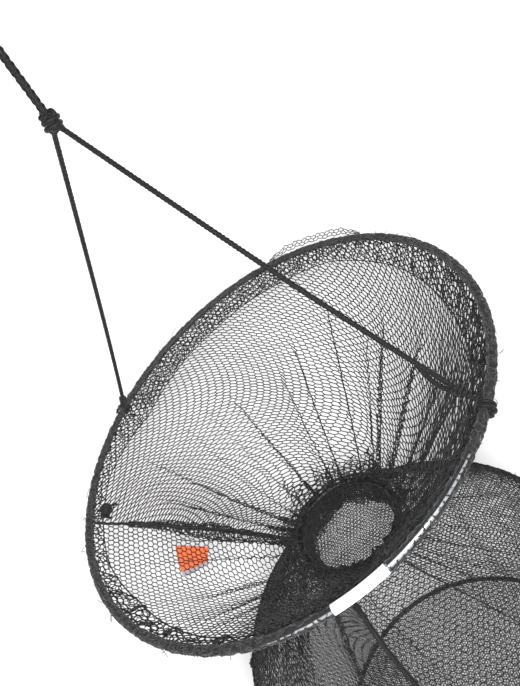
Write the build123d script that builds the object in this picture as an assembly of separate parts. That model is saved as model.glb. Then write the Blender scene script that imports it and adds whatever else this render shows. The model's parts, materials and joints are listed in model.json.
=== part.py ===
"""Folding crab trap: three wire hoops joined by netting, hung by a two-leg bridle.

Millimetres, +Z up. The origin is the point inside the top of the rope's eye where a hook
bears, and the trap hangs below it. X runs through the two bridle ties.
"""

from build123d import *
from math import atan2, cos, degrees, pi, radians, sin, sqrt, tan
import os

# ---- driving dimensions ------------------------------------------------------------------
HOOP_RADIUS = 160.0       # centreline radius of the mouth, shoulder and base hoops
WIRE_DIAMETER = 4.0       # hoop wire
SLEEVE_DIAMETER = 6.4     # hoop wire with the net rolled round it
LASH_DIAMETER = 1.1       # thread whipped round the rolled net
LASH_TURNS = 36           # whipping turns modelled round each hoop
FERRULE_DIAMETER = 5.6    # tube that joins the hoop wire's two ends
FERRULE_LENGTH = 33.0
WIRE_END_GAP = 1.0        # gap between the wire's ends, inside the ferrule

THROAT_RADIUS = 43.0      # centreline radius of the ring at the funnel's narrow end
THROAT_WIRE_DIAMETER = 3.0
THROAT_HEM_DIAMETER = 5.6
THROAT_LACE_DIAMETER = 1.3
THROAT_LACE_TURNS = 18
COLLAR_LENGTH = 16.0      # short net neck below the throat ring, which keeps the catch in
COLLAR_TAPER = 4.0        # how much its free edge draws in
NECK_CORD_DIAMETER = 2.6  # cord that gathers the chamber's top net round the throat

FUNNEL_DROP = 140.0       # mouth hoop down to the throat ring
SHOULDER_DROP = 124.0     # throat ring down to the shoulder hoop
CHAMBER_DROP = 228.0      # shoulder hoop down to the base hoop
MOUTH_TILT = 9.3          # degrees; the mouth hoop's +Y side hangs high

NET_THICKNESS = 1.0
HEM_WIDTH = 18.0          # doubled net beside the mouth hoop
SHOULDER_HEM_WIDTH = 12.0 # doubled net beside the shoulder hoop
SEAM_DIAMETER = 3.0       # gathered seam that closes each net panel
TAG_LENGTH = 27.0         # along the funnel's slope
TAG_OUTER_EDGE = 29.0     # nearer the mouth hoop
TAG_INNER_EDGE = 15.0     # nearer the throat
TAG_THICKNESS = 0.8

EYE_LENGTH = 52.0         # hook's bearing point down to the middle of the eye's knot
EYE_WIDTH = 38.0          # across the eye's centreline
ROPE_LENGTH = 78.0        # eye's knot down to the main knot
ROPE_DIAMETER = 4.8
LEG_LENGTH = 271.0        # main knot to the tie on the mouth hoop
LEG_DIAMETER = 3.2
MAIN_KNOT_LENGTH = 17.0
MAIN_KNOT_DIAMETER = 12.0
EYE_KNOT_LENGTH = 15.0
EYE_KNOT_DIAMETER = 12.0
LEG_KNOT_DIAMETER = 7.4
HITCH_TURNS = 3           # turns of the leg's tail round the hoop
TIE_LENGTH = 12.0         # small thread ties where a seam meets a hoop
TIE_DIAMETER = 5.0
LUMP_SHARE = 0.44         # radius of a knot's lumps, as a share of the knot's diameter
LUMP_SHIFT = 0.06         # how far they stand to either side, likewise
LEG_SAG = 1.1             # how far a taut bridle leg hangs off its straight line

CLEARANCE = 0.4           # between pieces that move apart
FIT_GAP = 0.05            # between a tube and the wire inside it

# ---- directions round the trap, in degrees from +X towards +Y -----------------------------
MOUTH_FERRULE_AT = -42.6
SHOULDER_FERRULE_AT = -20.0
BASE_FERRULE_AT = 200.0
FUNNEL_SEAM_AT = -141.0
SHOULDER_SEAM_AT = -58.0
CHAMBER_SEAM_AT = -58.0
TAG_AT = -127.5
SHOULDER_TIE_AT = -146.0

# ---- what follows from them ----------------------------------------------------------------
LASH_REACH = SLEEVE_DIAMETER / 2 + LASH_DIAMETER
NET_EDGE = HOOP_RADIUS - LASH_REACH - CLEARANCE
KNOT_Z = -(EYE_LENGTH + ROPE_LENGTH)
MOUTH_Z = KNOT_Z - sqrt(LEG_LENGTH**2 - HOOP_RADIUS**2)
THROAT_Z = MOUTH_Z - FUNNEL_DROP
SHOULDER_Z = THROAT_Z - SHOULDER_DROP
BASE_Z = SHOULDER_Z - CHAMBER_DROP
THROAT_REACH = THROAT_HEM_DIAMETER / 2 + THROAT_LACE_DIAMETER
NECK_REACH = THROAT_RADIUS + THROAT_REACH + NECK_CORD_DIAMETER / 2 + CLEARANCE
NECK_RADIUS = NECK_REACH / cos(radians(MOUTH_TILT))
THROAT_TOP = THROAT_Z + THROAT_REACH + CLEARANCE
MOUTH_PLACE = Location((0, 0, MOUTH_Z), (MOUTH_TILT, 0, 0))
SHOULDER_PLACE = Location((0, 0, SHOULDER_Z))
BASE_PLACE = Location((0, 0, BASE_Z))
THROAT_PLACE = Location((0, 0, THROAT_Z))


def round_at(angle, radius, z=0.0):
    """The point at an angle round the Z axis."""
    return Vector(radius * cos(radians(angle)), radius * sin(radians(angle)), z)


def mouth_point(angle, radius, z=0.0):
    """A point given in the mouth hoop's own tilted frame."""
    return (MOUTH_PLACE * Location(round_at(angle, radius, z))).position


def ring(radius, diameter, hole=0.0, start=0.0, sweep_angle=360.0):
    """A round bar or tube bent into a ring or an arc of one, in the XY plane."""
    section = Pos(radius, 0, 0) * Plane.XZ * Circle(diameter / 2)
    if hole:
        section -= Pos(radius, 0, 0) * Plane.XZ * Circle(hole / 2)
    bar = revolve(section, axis=Axis.Z, revolution_arc=sweep_angle)
    return Rot(0, 0, start) * bar


def arc_of(length, radius):
    """The angle in degrees that a length takes round a ring."""
    return degrees(length / radius)


def hoop_wire(ferrule_at):
    gap = arc_of(WIRE_END_GAP, HOOP_RADIUS)
    return ring(HOOP_RADIUS, WIRE_DIAMETER, 0, ferrule_at + gap / 2, 360 - gap)


def hoop_ferrule(ferrule_at):
    span = arc_of(FERRULE_LENGTH, HOOP_RADIUS)
    return ring(HOOP_RADIUS, FERRULE_DIAMETER, WIRE_DIAMETER + 2 * FIT_GAP, ferrule_at - span / 2, span)


def hoop_sleeve(ferrule_at):
    """The net rolled round the wire, open where the ferrule is."""
    span = arc_of(FERRULE_LENGTH + 2 * FIT_GAP, HOOP_RADIUS)
    return ring(HOOP_RADIUS, SLEEVE_DIAMETER, WIRE_DIAMETER + 2 * FIT_GAP, ferrule_at + span / 2, 360 - span)


def turn_round(at, radius, core, thread, lean=0.0):
    """One turn of thread round a ring's bar."""
    turn = Torus(core / 2 + thread / 2, thread / 2)
    return Rot(0, 0, at) * Pos(radius, 0, 0) * Rot(90 + lean, 0, 0) * turn


def lashing(radius, core, thread, turns, start, sweep_angle, skips=()):
    """Whipping turns spaced evenly round a ring's bar, without those that a knot covers."""
    step = sweep_angle / turns
    made = []
    for i in range(turns):
        at = start + (i + 0.5) * step
        if all(abs((at - skip + 180) % 360 - 180) > step / 2 + 3 for skip in skips):
            made.append(turn_round(at, radius, core + 2 * FIT_GAP, thread))
    return Compound(children=made)


def hoop_lashing(ferrule_at, skips=()):
    span = arc_of(FERRULE_LENGTH, HOOP_RADIUS)
    return lashing(
        HOOP_RADIUS, SLEEVE_DIAMETER, LASH_DIAMETER, LASH_TURNS, ferrule_at + span / 2, 360 - span, skips
    )


def hitch(at):
    """The turns of a bridle leg's tail round the mouth hoop."""
    reach = arc_of(LEG_DIAMETER, HOOP_RADIUS)
    first = at - reach * (HITCH_TURNS - 1) / 2
    turns = [
        turn_round(first + i * reach * 1.01, HOOP_RADIUS, SLEEVE_DIAMETER + 2 * FIT_GAP, LEG_DIAMETER)
        for i in range(HITCH_TURNS)
    ]
    return Compound(children=turns)


def knot(length, diameter, lumps=3):
    """A tight knot: rounded lumps in a row along Z, round the origin."""
    pitch = length / (lumps + 1)
    made = None
    for i in range(lumps):
        aside = (-1) ** i * diameter * LUMP_SHIFT
        lump = Pos(aside, 0, (i - (lumps - 1) / 2) * pitch) * Sphere(diameter * LUMP_SHARE)
        made = lump if made is None else made + lump
    return made


def along(start, end):
    """The place at start whose Z points at end."""
    return Plane(origin=start, z_dir=end - start).location


def cord_tube(points, diameter, name):
    """A cord along straight runs joined by tangent arcs."""
    runs = [points[i + 1] - points[i] for i in range(len(points) - 1)]
    radii = []
    for i in range(len(runs) - 1):
        turn = runs[i].get_angle(runs[i + 1])
        radii.append(0.45 * min(runs[i].length, runs[i + 1].length) / tan(radians(turn) / 2))
    path = FilletPolyline(*points, radius=radii)
    tube = sweep(Plane(origin=path @ 0, z_dir=path % 0) * Circle(diameter / 2), path=path)
    print(name, "length", round(path.length, 1), "radii", [round(r) for r in radii])
    expected = pi * (diameter / 2) ** 2 * path.length
    print(name, "volume", round(tube.volume, 1), "of", round(expected, 1))
    return tube


def cone_between(low_place, low_radius, high_place, high_radius):
    """A solid cone between two circles that may lean to each other."""
    return loft([low_place * Circle(low_radius), high_place * Circle(high_radius)], ruled=True)


def net_cone(low_place, low_radius, high_place, high_radius):
    """A thin open-ended wall of net between two rings."""
    outside = cone_between(low_place, low_radius, high_place, high_radius)
    inside = cone_between(
        low_place * Pos(0, 0, -0.01),
        low_radius - NET_THICKNESS,
        high_place * Pos(0, 0, 0.01),
        high_radius - NET_THICKNESS,
    )
    return outside - inside


def between(a, b, share):
    return a + (b - a) * share


def seam_cord(top, bottom):
    """The gathered seam down one side of a net panel: a straight roll of net."""
    length = (bottom - top).length
    return along(top, bottom) * Pos(0, 0, length / 2) * Cylinder(SEAM_DIAMETER / 2, length)


# ---- rope and bridle -------------------------------------------------------------------------
def leg_direction(side):
    """Unit vector from the tie on one side up to the main knot."""
    return Vector(-side * HOOP_RADIUS, 0, KNOT_Z - MOUTH_Z).normalized()


def leg_knot_centre(side):
    """Far enough from the tie's hinge line for the turns on the hoop to pass below the knot."""
    hitch_reach = sqrt((SLEEVE_DIAMETER / 2 + LEG_DIAMETER) ** 2 + (HITCH_TURNS * LEG_DIAMETER / 2) ** 2)
    rise = hitch_reach + CLEARANCE + LEG_KNOT_DIAMETER / 2
    return Vector(side * HOOP_RADIUS, 0, MOUTH_Z) + leg_direction(side) * (rise / leg_direction(side).Z)


def leg_route(side):
    """From the main knot to the leg's knot at the tie; a taut cord that sags a little."""
    top = Vector(0, 0, KNOT_Z)
    end = leg_knot_centre(side)
    sag = Vector(-side * (KNOT_Z - MOUTH_Z), 0, -HOOP_RADIUS).normalized()
    top += Vector(side * LEG_DIAMETER * 0.75, 0, -LEG_DIAMETER * 0.9)
    return [top, between(top, end, 0.34) + sag * LEG_SAG, between(top, end, 0.68) + sag * LEG_SAG, end]


def bridle_leg(side, name):
    return cord_tube(leg_route(side), LEG_DIAMETER, name)


def leg_knot(side):
    return Location(leg_knot_centre(side)) * Sphere(LEG_KNOT_DIAMETER / 2)


def main_knot():
    return Pos(0, 0, KNOT_Z) * knot(MAIN_KNOT_LENGTH, MAIN_KNOT_DIAMETER)


def eye_knot():
    return Pos(0, 0, -EYE_LENGTH) * knot(EYE_KNOT_LENGTH, EYE_KNOT_DIAMETER)


def hoist_rope():
    """From the eye's knot down to the main knot, very slightly bowed."""
    low = Vector(0, 0, KNOT_Z + ROPE_DIAMETER / 2)
    high = Vector(0, 0, -EYE_LENGTH - ROPE_DIAMETER / 2)
    points = [high, between(high, low, 0.48) + Vector(0.9, -0.4, 0), low]
    return cord_tube(points, ROPE_DIAMETER, "hoist_rope")


def rope_eye():
    """The loop that hangs on the hook, out of its knot and back into it."""
    half = EYE_WIDTH / 2
    low = -EYE_LENGTH + ROPE_DIAMETER / 2
    one_side = [
        Vector(ROPE_DIAMETER * 0.52, 0, low),
        Vector(half * 0.56, 0, low + EYE_LENGTH * 0.24),
        Vector(half * 0.94, 0, low + EYE_LENGTH * 0.51),
        Vector(half, 0, low + EYE_LENGTH * 0.78),
        Vector(half * 0.42, 0, ROPE_DIAMETER / 2),
    ]
    other_side = [Vector(-p.X, 0, p.Z) for p in reversed(one_side)]
    return cord_tube(one_side + other_side, ROPE_DIAMETER, "rope_eye")


# ---- funnel ------------------------------------------------------------------------------------
def funnel_wall_point(angle, share):
    """On the funnel net's middle surface: 0 at the mouth hoop, 1 at the throat."""
    low = round_at(angle, THROAT_RADIUS - NET_THICKNESS / 2, THROAT_TOP)
    return between(mouth_point(angle, NET_EDGE - NET_THICKNESS / 2), low, share)


def hitch_room(at):
    """The space that a hitch takes up round the mouth hoop, with its clearance."""
    reach = SLEEVE_DIAMETER / 2 + LEG_DIAMETER + CLEARANCE
    width = (HITCH_TURNS + 1) * LEG_DIAMETER + 2 * CLEARANCE
    return MOUTH_PLACE * Rot(0, 0, at) * Pos(HOOP_RADIUS, 0, 0) * Rot(90, 0, 0) * Cylinder(reach, width)


def funnel_net():
    """The funnel's wall, notched at its edge where the two hitches pass through its meshes."""
    wall = net_cone(Location((0, 0, THROAT_TOP)), THROAT_RADIUS, MOUTH_PLACE, NET_EDGE)
    return wall - hitch_room(0) - hitch_room(180)


def inward(angle, offset):
    """Off the funnel wall, towards the inside of the funnel."""
    slope = atan2(HOOP_RADIUS - THROAT_RADIUS, FUNNEL_DROP)
    return round_at(angle, -offset * cos(slope), offset * sin(slope))


def mouth_hem():
    """Doubled band of net just inside the mouth hoop, on the funnel net's inner face."""
    gap = 2 * NET_THICKNESS + CLEARANCE
    wall = net_cone(Location((0, 0, THROAT_TOP)), THROAT_RADIUS - gap, MOUTH_PLACE, NET_EDGE - gap)
    depth = HEM_WIDTH * FUNNEL_DROP / (funnel_wall_point(0, 0) - funnel_wall_point(0, 1)).length
    return split(wall, bisect_by=Plane(MOUTH_PLACE * Pos(0, 0, -depth)), keep=Keep.TOP)


def funnel_seam():
    off = inward(FUNNEL_SEAM_AT, SEAM_DIAMETER / 2 + 3 * NET_THICKNESS + CLEARANCE)
    top = funnel_wall_point(FUNNEL_SEAM_AT, 0.03)
    bottom = funnel_wall_point(FUNNEL_SEAM_AT, 0.97)
    return seam_cord(top + off, bottom + off)


def mouth_tie():
    """Thread knot where the funnel seam meets the mouth hoop."""
    off = inward(FUNNEL_SEAM_AT, TIE_DIAMETER / 2 + SEAM_DIAMETER + 3 * NET_THICKNESS + 2 * CLEARANCE)
    place = Location(funnel_wall_point(FUNNEL_SEAM_AT, 0.06) + off)
    return place * Rot(0, 0, FUNNEL_SEAM_AT) * Rot(90, 0, 0) * knot(TIE_LENGTH, TIE_DIAMETER)


def tag():
    """Plain cloth tag sewn to the funnel beside its seam."""
    at = funnel_wall_point(TAG_AT, 0.46) + inward(TAG_AT, 2 * NET_THICKNESS + TAG_THICKNESS + CLEARANCE)
    down = funnel_wall_point(TAG_AT, 0.6) - funnel_wall_point(TAG_AT, 0.4)
    half = TAG_LENGTH / 2
    outline = Polyline(
        (-half, -TAG_OUTER_EDGE / 2),
        (half, -TAG_OUTER_EDGE / 2),
        (half, -TAG_OUTER_EDGE / 2 + TAG_INNER_EDGE),
        (-half, TAG_OUTER_EDGE / 2),
        close=True,
    )
    face = Plane(origin=at, x_dir=down, z_dir=inward(TAG_AT, 1.0)) * make_face(outline)
    return extrude(face, TAG_THICKNESS)


# ---- throat ------------------------------------------------------------------------------------
def throat_ring():
    return THROAT_PLACE * ring(THROAT_RADIUS, THROAT_WIRE_DIAMETER)


def throat_hem():
    """The funnel net's end gathered round the throat ring."""
    return THROAT_PLACE * ring(THROAT_RADIUS, THROAT_HEM_DIAMETER, THROAT_WIRE_DIAMETER + 2 * FIT_GAP)


def throat_lacing():
    return THROAT_PLACE * lashing(
        THROAT_RADIUS, THROAT_HEM_DIAMETER, THROAT_LACE_DIAMETER, THROAT_LACE_TURNS, 0, 360
    )


def throat_collar():
    """Free-hanging neck of net below the ring, drawn in towards its edge."""
    top = THROAT_Z - THROAT_REACH - FIT_GAP
    low = Location((0, 0, top - COLLAR_LENGTH))
    return net_cone(low, THROAT_RADIUS - COLLAR_TAPER, Location((0, 0, top)), THROAT_RADIUS)


def neck_cord():
    return THROAT_PLACE * ring(NECK_RADIUS, NECK_CORD_DIAMETER)


# ---- chamber -----------------------------------------------------------------------------------
NECK_NET_TOP = THROAT_Z - NECK_CORD_DIAMETER / 2 - FIT_GAP


def shoulder_wall_point(angle, share):
    """On the chamber's sloping top net: 0 at the throat, 1 at the shoulder hoop."""
    high = round_at(angle, NECK_RADIUS - NET_THICKNESS / 2, NECK_NET_TOP)
    return between(high, round_at(angle, NET_EDGE - NET_THICKNESS / 2, SHOULDER_Z), share)


def shoulder_net():
    return net_cone(SHOULDER_PLACE, NET_EDGE, Location((0, 0, NECK_NET_TOP)), NECK_RADIUS)


def shoulder_hem():
    """Doubled band of net beside the shoulder hoop, inside the sloping net."""
    gap = 2 * NET_THICKNESS + CLEARANCE
    wall = net_cone(SHOULDER_PLACE, NET_EDGE - gap, Location((0, 0, NECK_NET_TOP)), NECK_RADIUS - gap)
    slant = (shoulder_wall_point(0, 0) - shoulder_wall_point(0, 1)).length
    rise = SHOULDER_HEM_WIDTH * SHOULDER_DROP / slant
    return split(wall, bisect_by=Plane(SHOULDER_PLACE * Pos(0, 0, rise)), keep=Keep.BOTTOM)


def shoulder_seam():
    off = round_at(SHOULDER_SEAM_AT, 1, 1).normalized() * (SEAM_DIAMETER / 2 + NET_THICKNESS + CLEARANCE)
    top = shoulder_wall_point(SHOULDER_SEAM_AT, 0.04)
    bottom = shoulder_wall_point(SHOULDER_SEAM_AT, 0.94)
    return seam_cord(top + off, bottom + off)


def shoulder_tie():
    step = arc_of(LASH_DIAMETER * 1.05, HOOP_RADIUS)
    core = SLEEVE_DIAMETER + 2 * FIT_GAP
    turns = [
        turn_round(SHOULDER_TIE_AT + i * step, HOOP_RADIUS, core, LASH_DIAMETER)
        for i in range(-2, 3)
    ]
    return SHOULDER_PLACE * Compound(children=turns)


def chamber_net():
    wall = Cylinder(HOOP_RADIUS, CHAMBER_DROP - 2 * (LASH_REACH + CLEARANCE))
    wall -= Cylinder(HOOP_RADIUS - NET_THICKNESS, CHAMBER_DROP)
    return Pos(0, 0, (SHOULDER_Z + BASE_Z) / 2) * wall


def chamber_seam():
    reach = LASH_REACH + 2 * CLEARANCE
    radius = HOOP_RADIUS - NET_THICKNESS - SEAM_DIAMETER / 2 - CLEARANCE
    top = round_at(CHAMBER_SEAM_AT, radius, SHOULDER_Z - reach)
    bottom = round_at(CHAMBER_SEAM_AT, radius, BASE_Z + reach)
    return seam_cord(top, bottom)


def base_net():
    return BASE_PLACE * Cylinder(NET_EDGE, NET_THICKNESS)


def hoop_nodes(name, place, ferrule_at, skips):
    """The four pieces of one hoop: wire, ferrule, rolled net and whipping."""
    return {
        name + "_hoop_wire": place * hoop_wire(ferrule_at),
        name + "_hoop_ferrule": place * hoop_ferrule(ferrule_at),
        name + "_hoop_sleeve": place * hoop_sleeve(ferrule_at),
        name + "_hoop_lashing": place * hoop_lashing(ferrule_at, skips),
    }


def all_nodes():
    nodes = {
        "hoist_rope": hoist_rope(),
        "rope_eye": rope_eye(),
        "rope_eye_knot": eye_knot(),
        "main_knot": main_knot(),
        "funnel_net": funnel_net(),
        "mouth_hem": mouth_hem(),
        "funnel_seam": funnel_seam(),
        "funnel_seam_tie": mouth_tie(),
        "tag": tag(),
        "throat_ring": throat_ring(),
        "throat_hem": throat_hem(),
        "throat_lacing": throat_lacing(),
        "throat_collar": throat_collar(),
        "neck_cord": neck_cord(),
        "shoulder_net": shoulder_net(),
        "shoulder_hem": shoulder_hem(),
        "shoulder_seam": shoulder_seam(),
        "shoulder_tie": shoulder_tie(),
        "chamber_net": chamber_net(),
        "chamber_seam": chamber_seam(),
        "base_net": base_net(),
    }
    for side, word in ((-1, "left"), (1, "right")):
        nodes["bridle_leg_" + word] = bridle_leg(side, "bridle_leg_" + word)
        nodes["leg_knot_" + word] = leg_knot(side)
        nodes["hoop_hitch_" + word] = MOUTH_PLACE * hitch(0 if side > 0 else 180)
    nodes.update(hoop_nodes("mouth", MOUTH_PLACE, MOUTH_FERRULE_AT, (0, 180)))
    nodes.update(hoop_nodes("shoulder", SHOULDER_PLACE, SHOULDER_FERRULE_AT, (SHOULDER_TIE_AT,)))
    nodes.update(hoop_nodes("base", BASE_PLACE, BASE_FERRULE_AT, ()))
    return nodes


def main():
    os.makedirs("parts", exist_ok=True)
    for name, solid in all_nodes().items():
        export_step(solid, "parts/" + name + ".step")


main()
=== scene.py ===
import json
import math

import bpy
import numpy as np
from bpy.props import FloatProperty, FloatVectorProperty, IntProperty, PointerProperty
from mathutils import Euler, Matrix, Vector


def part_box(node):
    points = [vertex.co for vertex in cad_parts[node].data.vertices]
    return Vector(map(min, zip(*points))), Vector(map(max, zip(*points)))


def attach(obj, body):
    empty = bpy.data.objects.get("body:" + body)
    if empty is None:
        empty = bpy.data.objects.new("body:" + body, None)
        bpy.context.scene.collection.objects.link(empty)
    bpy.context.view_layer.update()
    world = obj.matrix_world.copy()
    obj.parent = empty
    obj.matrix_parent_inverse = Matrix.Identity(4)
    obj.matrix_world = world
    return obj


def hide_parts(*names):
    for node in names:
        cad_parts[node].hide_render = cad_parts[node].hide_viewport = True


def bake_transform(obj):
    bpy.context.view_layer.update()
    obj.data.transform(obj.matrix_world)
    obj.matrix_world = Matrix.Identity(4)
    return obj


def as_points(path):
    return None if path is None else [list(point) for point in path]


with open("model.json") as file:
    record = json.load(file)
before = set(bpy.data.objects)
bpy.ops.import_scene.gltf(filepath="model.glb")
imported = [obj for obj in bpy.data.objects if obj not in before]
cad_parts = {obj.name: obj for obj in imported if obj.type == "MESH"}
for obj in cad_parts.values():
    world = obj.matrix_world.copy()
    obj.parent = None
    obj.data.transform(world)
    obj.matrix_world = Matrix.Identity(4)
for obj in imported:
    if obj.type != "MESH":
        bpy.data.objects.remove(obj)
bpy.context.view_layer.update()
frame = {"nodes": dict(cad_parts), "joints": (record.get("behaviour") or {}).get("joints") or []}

bl_info = {
    "name": "Folding Crab Trap",
    "version": (1, 0, 0),
    "blender": (4, 5, 0),
    "location": "View3D > Sidebar > Crab Trap",
    "description": "Nets, rolled hoops, rope bridle and finishes of a hanging, folding crab trap",
    "category": "Object",
}

# ---- places taken from the frame --------------------------------------------------------------
JOINTS = {joint["name"]: joint for joint in frame["joints"]}


def middle(node):
    low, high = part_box(node)
    return (low + high) / 2


def span(node, axis):
    low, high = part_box(node)
    return high[axis] - low[axis]


WIRE = span("base_hoop_wire", 2)
HOOP_R = (span("base_hoop_wire", 0) - WIRE) / 2
SLEEVE_R = span("base_hoop_sleeve", 2) / 2
MOUTH_Z = JOINTS["mouth_swing"]["pos_m"][2]
THROAT_Z = JOINTS["neck_tilt"]["pos_m"][2]
SHOULDER_Z = middle("shoulder_hoop_wire").z
BASE_Z = middle("base_hoop_wire").z
THROAT_HEM_R = span("throat_hem", 2) / 2
THROAT_R = span("throat_hem", 0) / 2 - THROAT_HEM_R
NECK_R = (span("neck_cord", 0) - span("neck_cord", 2)) / 2
COLLAR_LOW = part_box("throat_collar")[0].z
MOUTH_TILT = math.atan2(span("mouth_hoop_wire", 2) - WIRE, span("mouth_hoop_wire", 1) - WIRE)
KNOT = np.array(middle("main_knot"))
EYE_KNOT = np.array(middle("rope_eye_knot"))
NET_R = span("base_net", 0) / 2
TAU = 2 * math.pi


def heading(node):
    """The direction round the axis, in radians, at which a node stands."""
    at = middle(node)
    return math.atan2(at.y, at.x)


MOUTH_FERRULE_AT = heading("mouth_hoop_ferrule")
SHOULDER_FERRULE_AT = heading("shoulder_hoop_ferrule")
BASE_FERRULE_AT = heading("base_hoop_ferrule")
FUNNEL_SEAM_AT = heading("funnel_seam_tie")
SHOULDER_SEAM_AT = heading("shoulder_seam")
SHOULDER_TIE_AT = heading("shoulder_tie")


# ---- properties --------------------------------------------------------------------------------
class CrabTrapNet(bpy.types.PropertyGroup):
    mesh: FloatProperty(
        name="Mesh", description="Distance between neighbouring holes", default=0.0046, unit="LENGTH"
    )
    thread: FloatProperty(
        name="Thread", description="Thickness of the net's thread", default=0.001, unit="LENGTH"
    )
    top_mesh: FloatProperty(
        name="Top Mesh", description="Mesh of the chamber's sloping top", default=0.0038, unit="LENGTH"
    )
    wall_mesh: FloatProperty(
        name="Wall Mesh", description="Mesh of the chamber's side wall", default=0.005, unit="LENGTH"
    )
    bottom_mesh: FloatProperty(
        name="Bottom Mesh", description="Mesh of the closer bottom net", default=0.0031, unit="LENGTH"
    )
    bottom_thread: FloatProperty(
        name="Bottom Thread", description="Thickness of its thread", default=0.0008, unit="LENGTH"
    )
    pleats: IntProperty(name="Pleats", description="Folds that gather a net to its neck", default=27, min=8)
    colour: FloatVectorProperty(
        name="Colour", description="Net thread", subtype="COLOR", default=(0.0045, 0.0045, 0.005)
    )


class CrabTrapCord(bpy.types.PropertyGroup):
    rope: FloatProperty(
        name="Rope", description="Thickness of the hoist rope", default=0.0048, unit="LENGTH"
    )
    leg: FloatProperty(
        name="Leg", description="Thickness of the bridle's legs", default=0.0032, unit="LENGTH"
    )
    whipping: FloatProperty(
        name="Whipping", description="Thread round the rolled hoop edge", default=0.0009, unit="LENGTH"
    )
    whip_step: FloatProperty(
        name="Whipping Step", description="Distance between its turns", default=0.0062, unit="LENGTH"
    )
    colour: FloatVectorProperty(
        name="Colour", description="Rope and cord", subtype="COLOR", default=(0.004, 0.004, 0.0045)
    )


class CrabTrapTrim(bpy.types.PropertyGroup):
    wire: FloatVectorProperty(
        name="Wire", description="Coated hoop wire", subtype="COLOR", default=(0.36, 0.38, 0.41)
    )
    ferrule: FloatVectorProperty(
        name="Ferrule", description="Joining tube", subtype="COLOR", default=(0.83, 0.84, 0.86)
    )
    tag: FloatVectorProperty(
        name="Tag", description="Cloth tag", subtype="COLOR", default=(0.66, 0.11, 0.018)
    )


class CrabTrapStage(bpy.types.PropertyGroup):
    eye: FloatVectorProperty(
        name="Camera Place", description="Where the camera stands", unit="LENGTH",
        default=(0.2834, -0.2145, -0.1241),
    )
    look: FloatVectorProperty(
        name="Camera Angles", description="The camera's turn about X, Y and Z, in degrees",
        default=(57.602, 30.256, 31.237),
    )
    lens: FloatProperty(name="Lens", description="Focal length in millimetres", default=31.49)
    floor_drop: FloatProperty(
        name="Floor Drop", description="How far the trap hangs above the floor", default=2.2, unit="LENGTH"
    )
    bowl: FloatProperty(name="Bowl", description="Radius of the backdrop", default=3.0, unit="LENGTH")
    key: FloatProperty(name="Key", description="Power of the key light", default=100.0)
    sky: FloatProperty(name="Sky", description="Strength of the light from all round", default=0.15)


GROUPS = {
    "crab_net": CrabTrapNet,
    "crab_cord": CrabTrapCord,
    "crab_trim": CrabTrapTrim,
    "crab_stage": CrabTrapStage,
}


# ---- meshes ------------------------------------------------------------------------------------
def unit(vectors):
    return vectors / np.maximum(np.linalg.norm(vectors, axis=-1, keepdims=True), 1e-12)


def new_mesh(name, vertices, faces, material, smooth=True):
    """A mesh object of faces that all have the same number of corners."""
    mesh = bpy.data.meshes.new(name)
    corners = faces.shape[1]
    mesh.vertices.add(len(vertices))
    mesh.vertices.foreach_set("co", np.asarray(vertices, np.float32).ravel())
    mesh.loops.add(faces.size)
    mesh.loops.foreach_set("vertex_index", faces.astype(np.int32).ravel())
    mesh.polygons.add(len(faces))
    mesh.polygons.foreach_set("loop_start", np.arange(0, faces.size, corners, dtype=np.int32))
    mesh.polygons.foreach_set("use_smooth", np.full(len(faces), smooth))
    mesh.update(calc_edges=True)
    mesh.materials.append(material)
    piece = bpy.data.objects.new(name, mesh)
    bpy.context.scene.collection.objects.link(piece)
    return piece


def joined(parts):
    """One (vertices, faces) of several."""
    vertices = np.concatenate([v for v, _ in parts])
    starts = np.cumsum([0] + [len(v) for v, _ in parts[:-1]])
    return vertices, np.concatenate([f + start for (_, f), start in zip(parts, starts)])


def threads(points, normals, pairs, width, sides=3):
    """A short bar of net thread along each pair of knots, open at its ends where it meets the others."""
    a, b = points[pairs[:, 0]], points[pairs[:, 1]]
    width = np.broadcast_to(width, len(pairs))[:, None]
    run = unit(b - a)
    out = unit(normals[pairs[:, 0]] + normals[pairs[:, 1]])
    side = unit(np.cross(run, out))
    out = np.cross(side, run)
    a, b = a - run * width * 0.2, b + run * width * 0.2
    turn = TAU * (np.arange(sides) + 0.5) / sides - math.pi / 2
    offsets = np.cos(turn)[None, :, None] * side[:, None] + np.sin(turn)[None, :, None] * out[:, None]
    offsets = offsets * width[:, None] / 2
    vertices = np.concatenate([a[:, None] + offsets, b[:, None] + offsets], axis=1).reshape(-1, 3)
    k = np.arange(sides)
    quad = np.stack([k, (k + 1) % sides, sides + (k + 1) % sides, sides + k], axis=1)
    faces = (np.arange(len(pairs))[:, None, None] * 2 * sides + quad[None]).reshape(-1, 4)
    return vertices, faces


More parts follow.
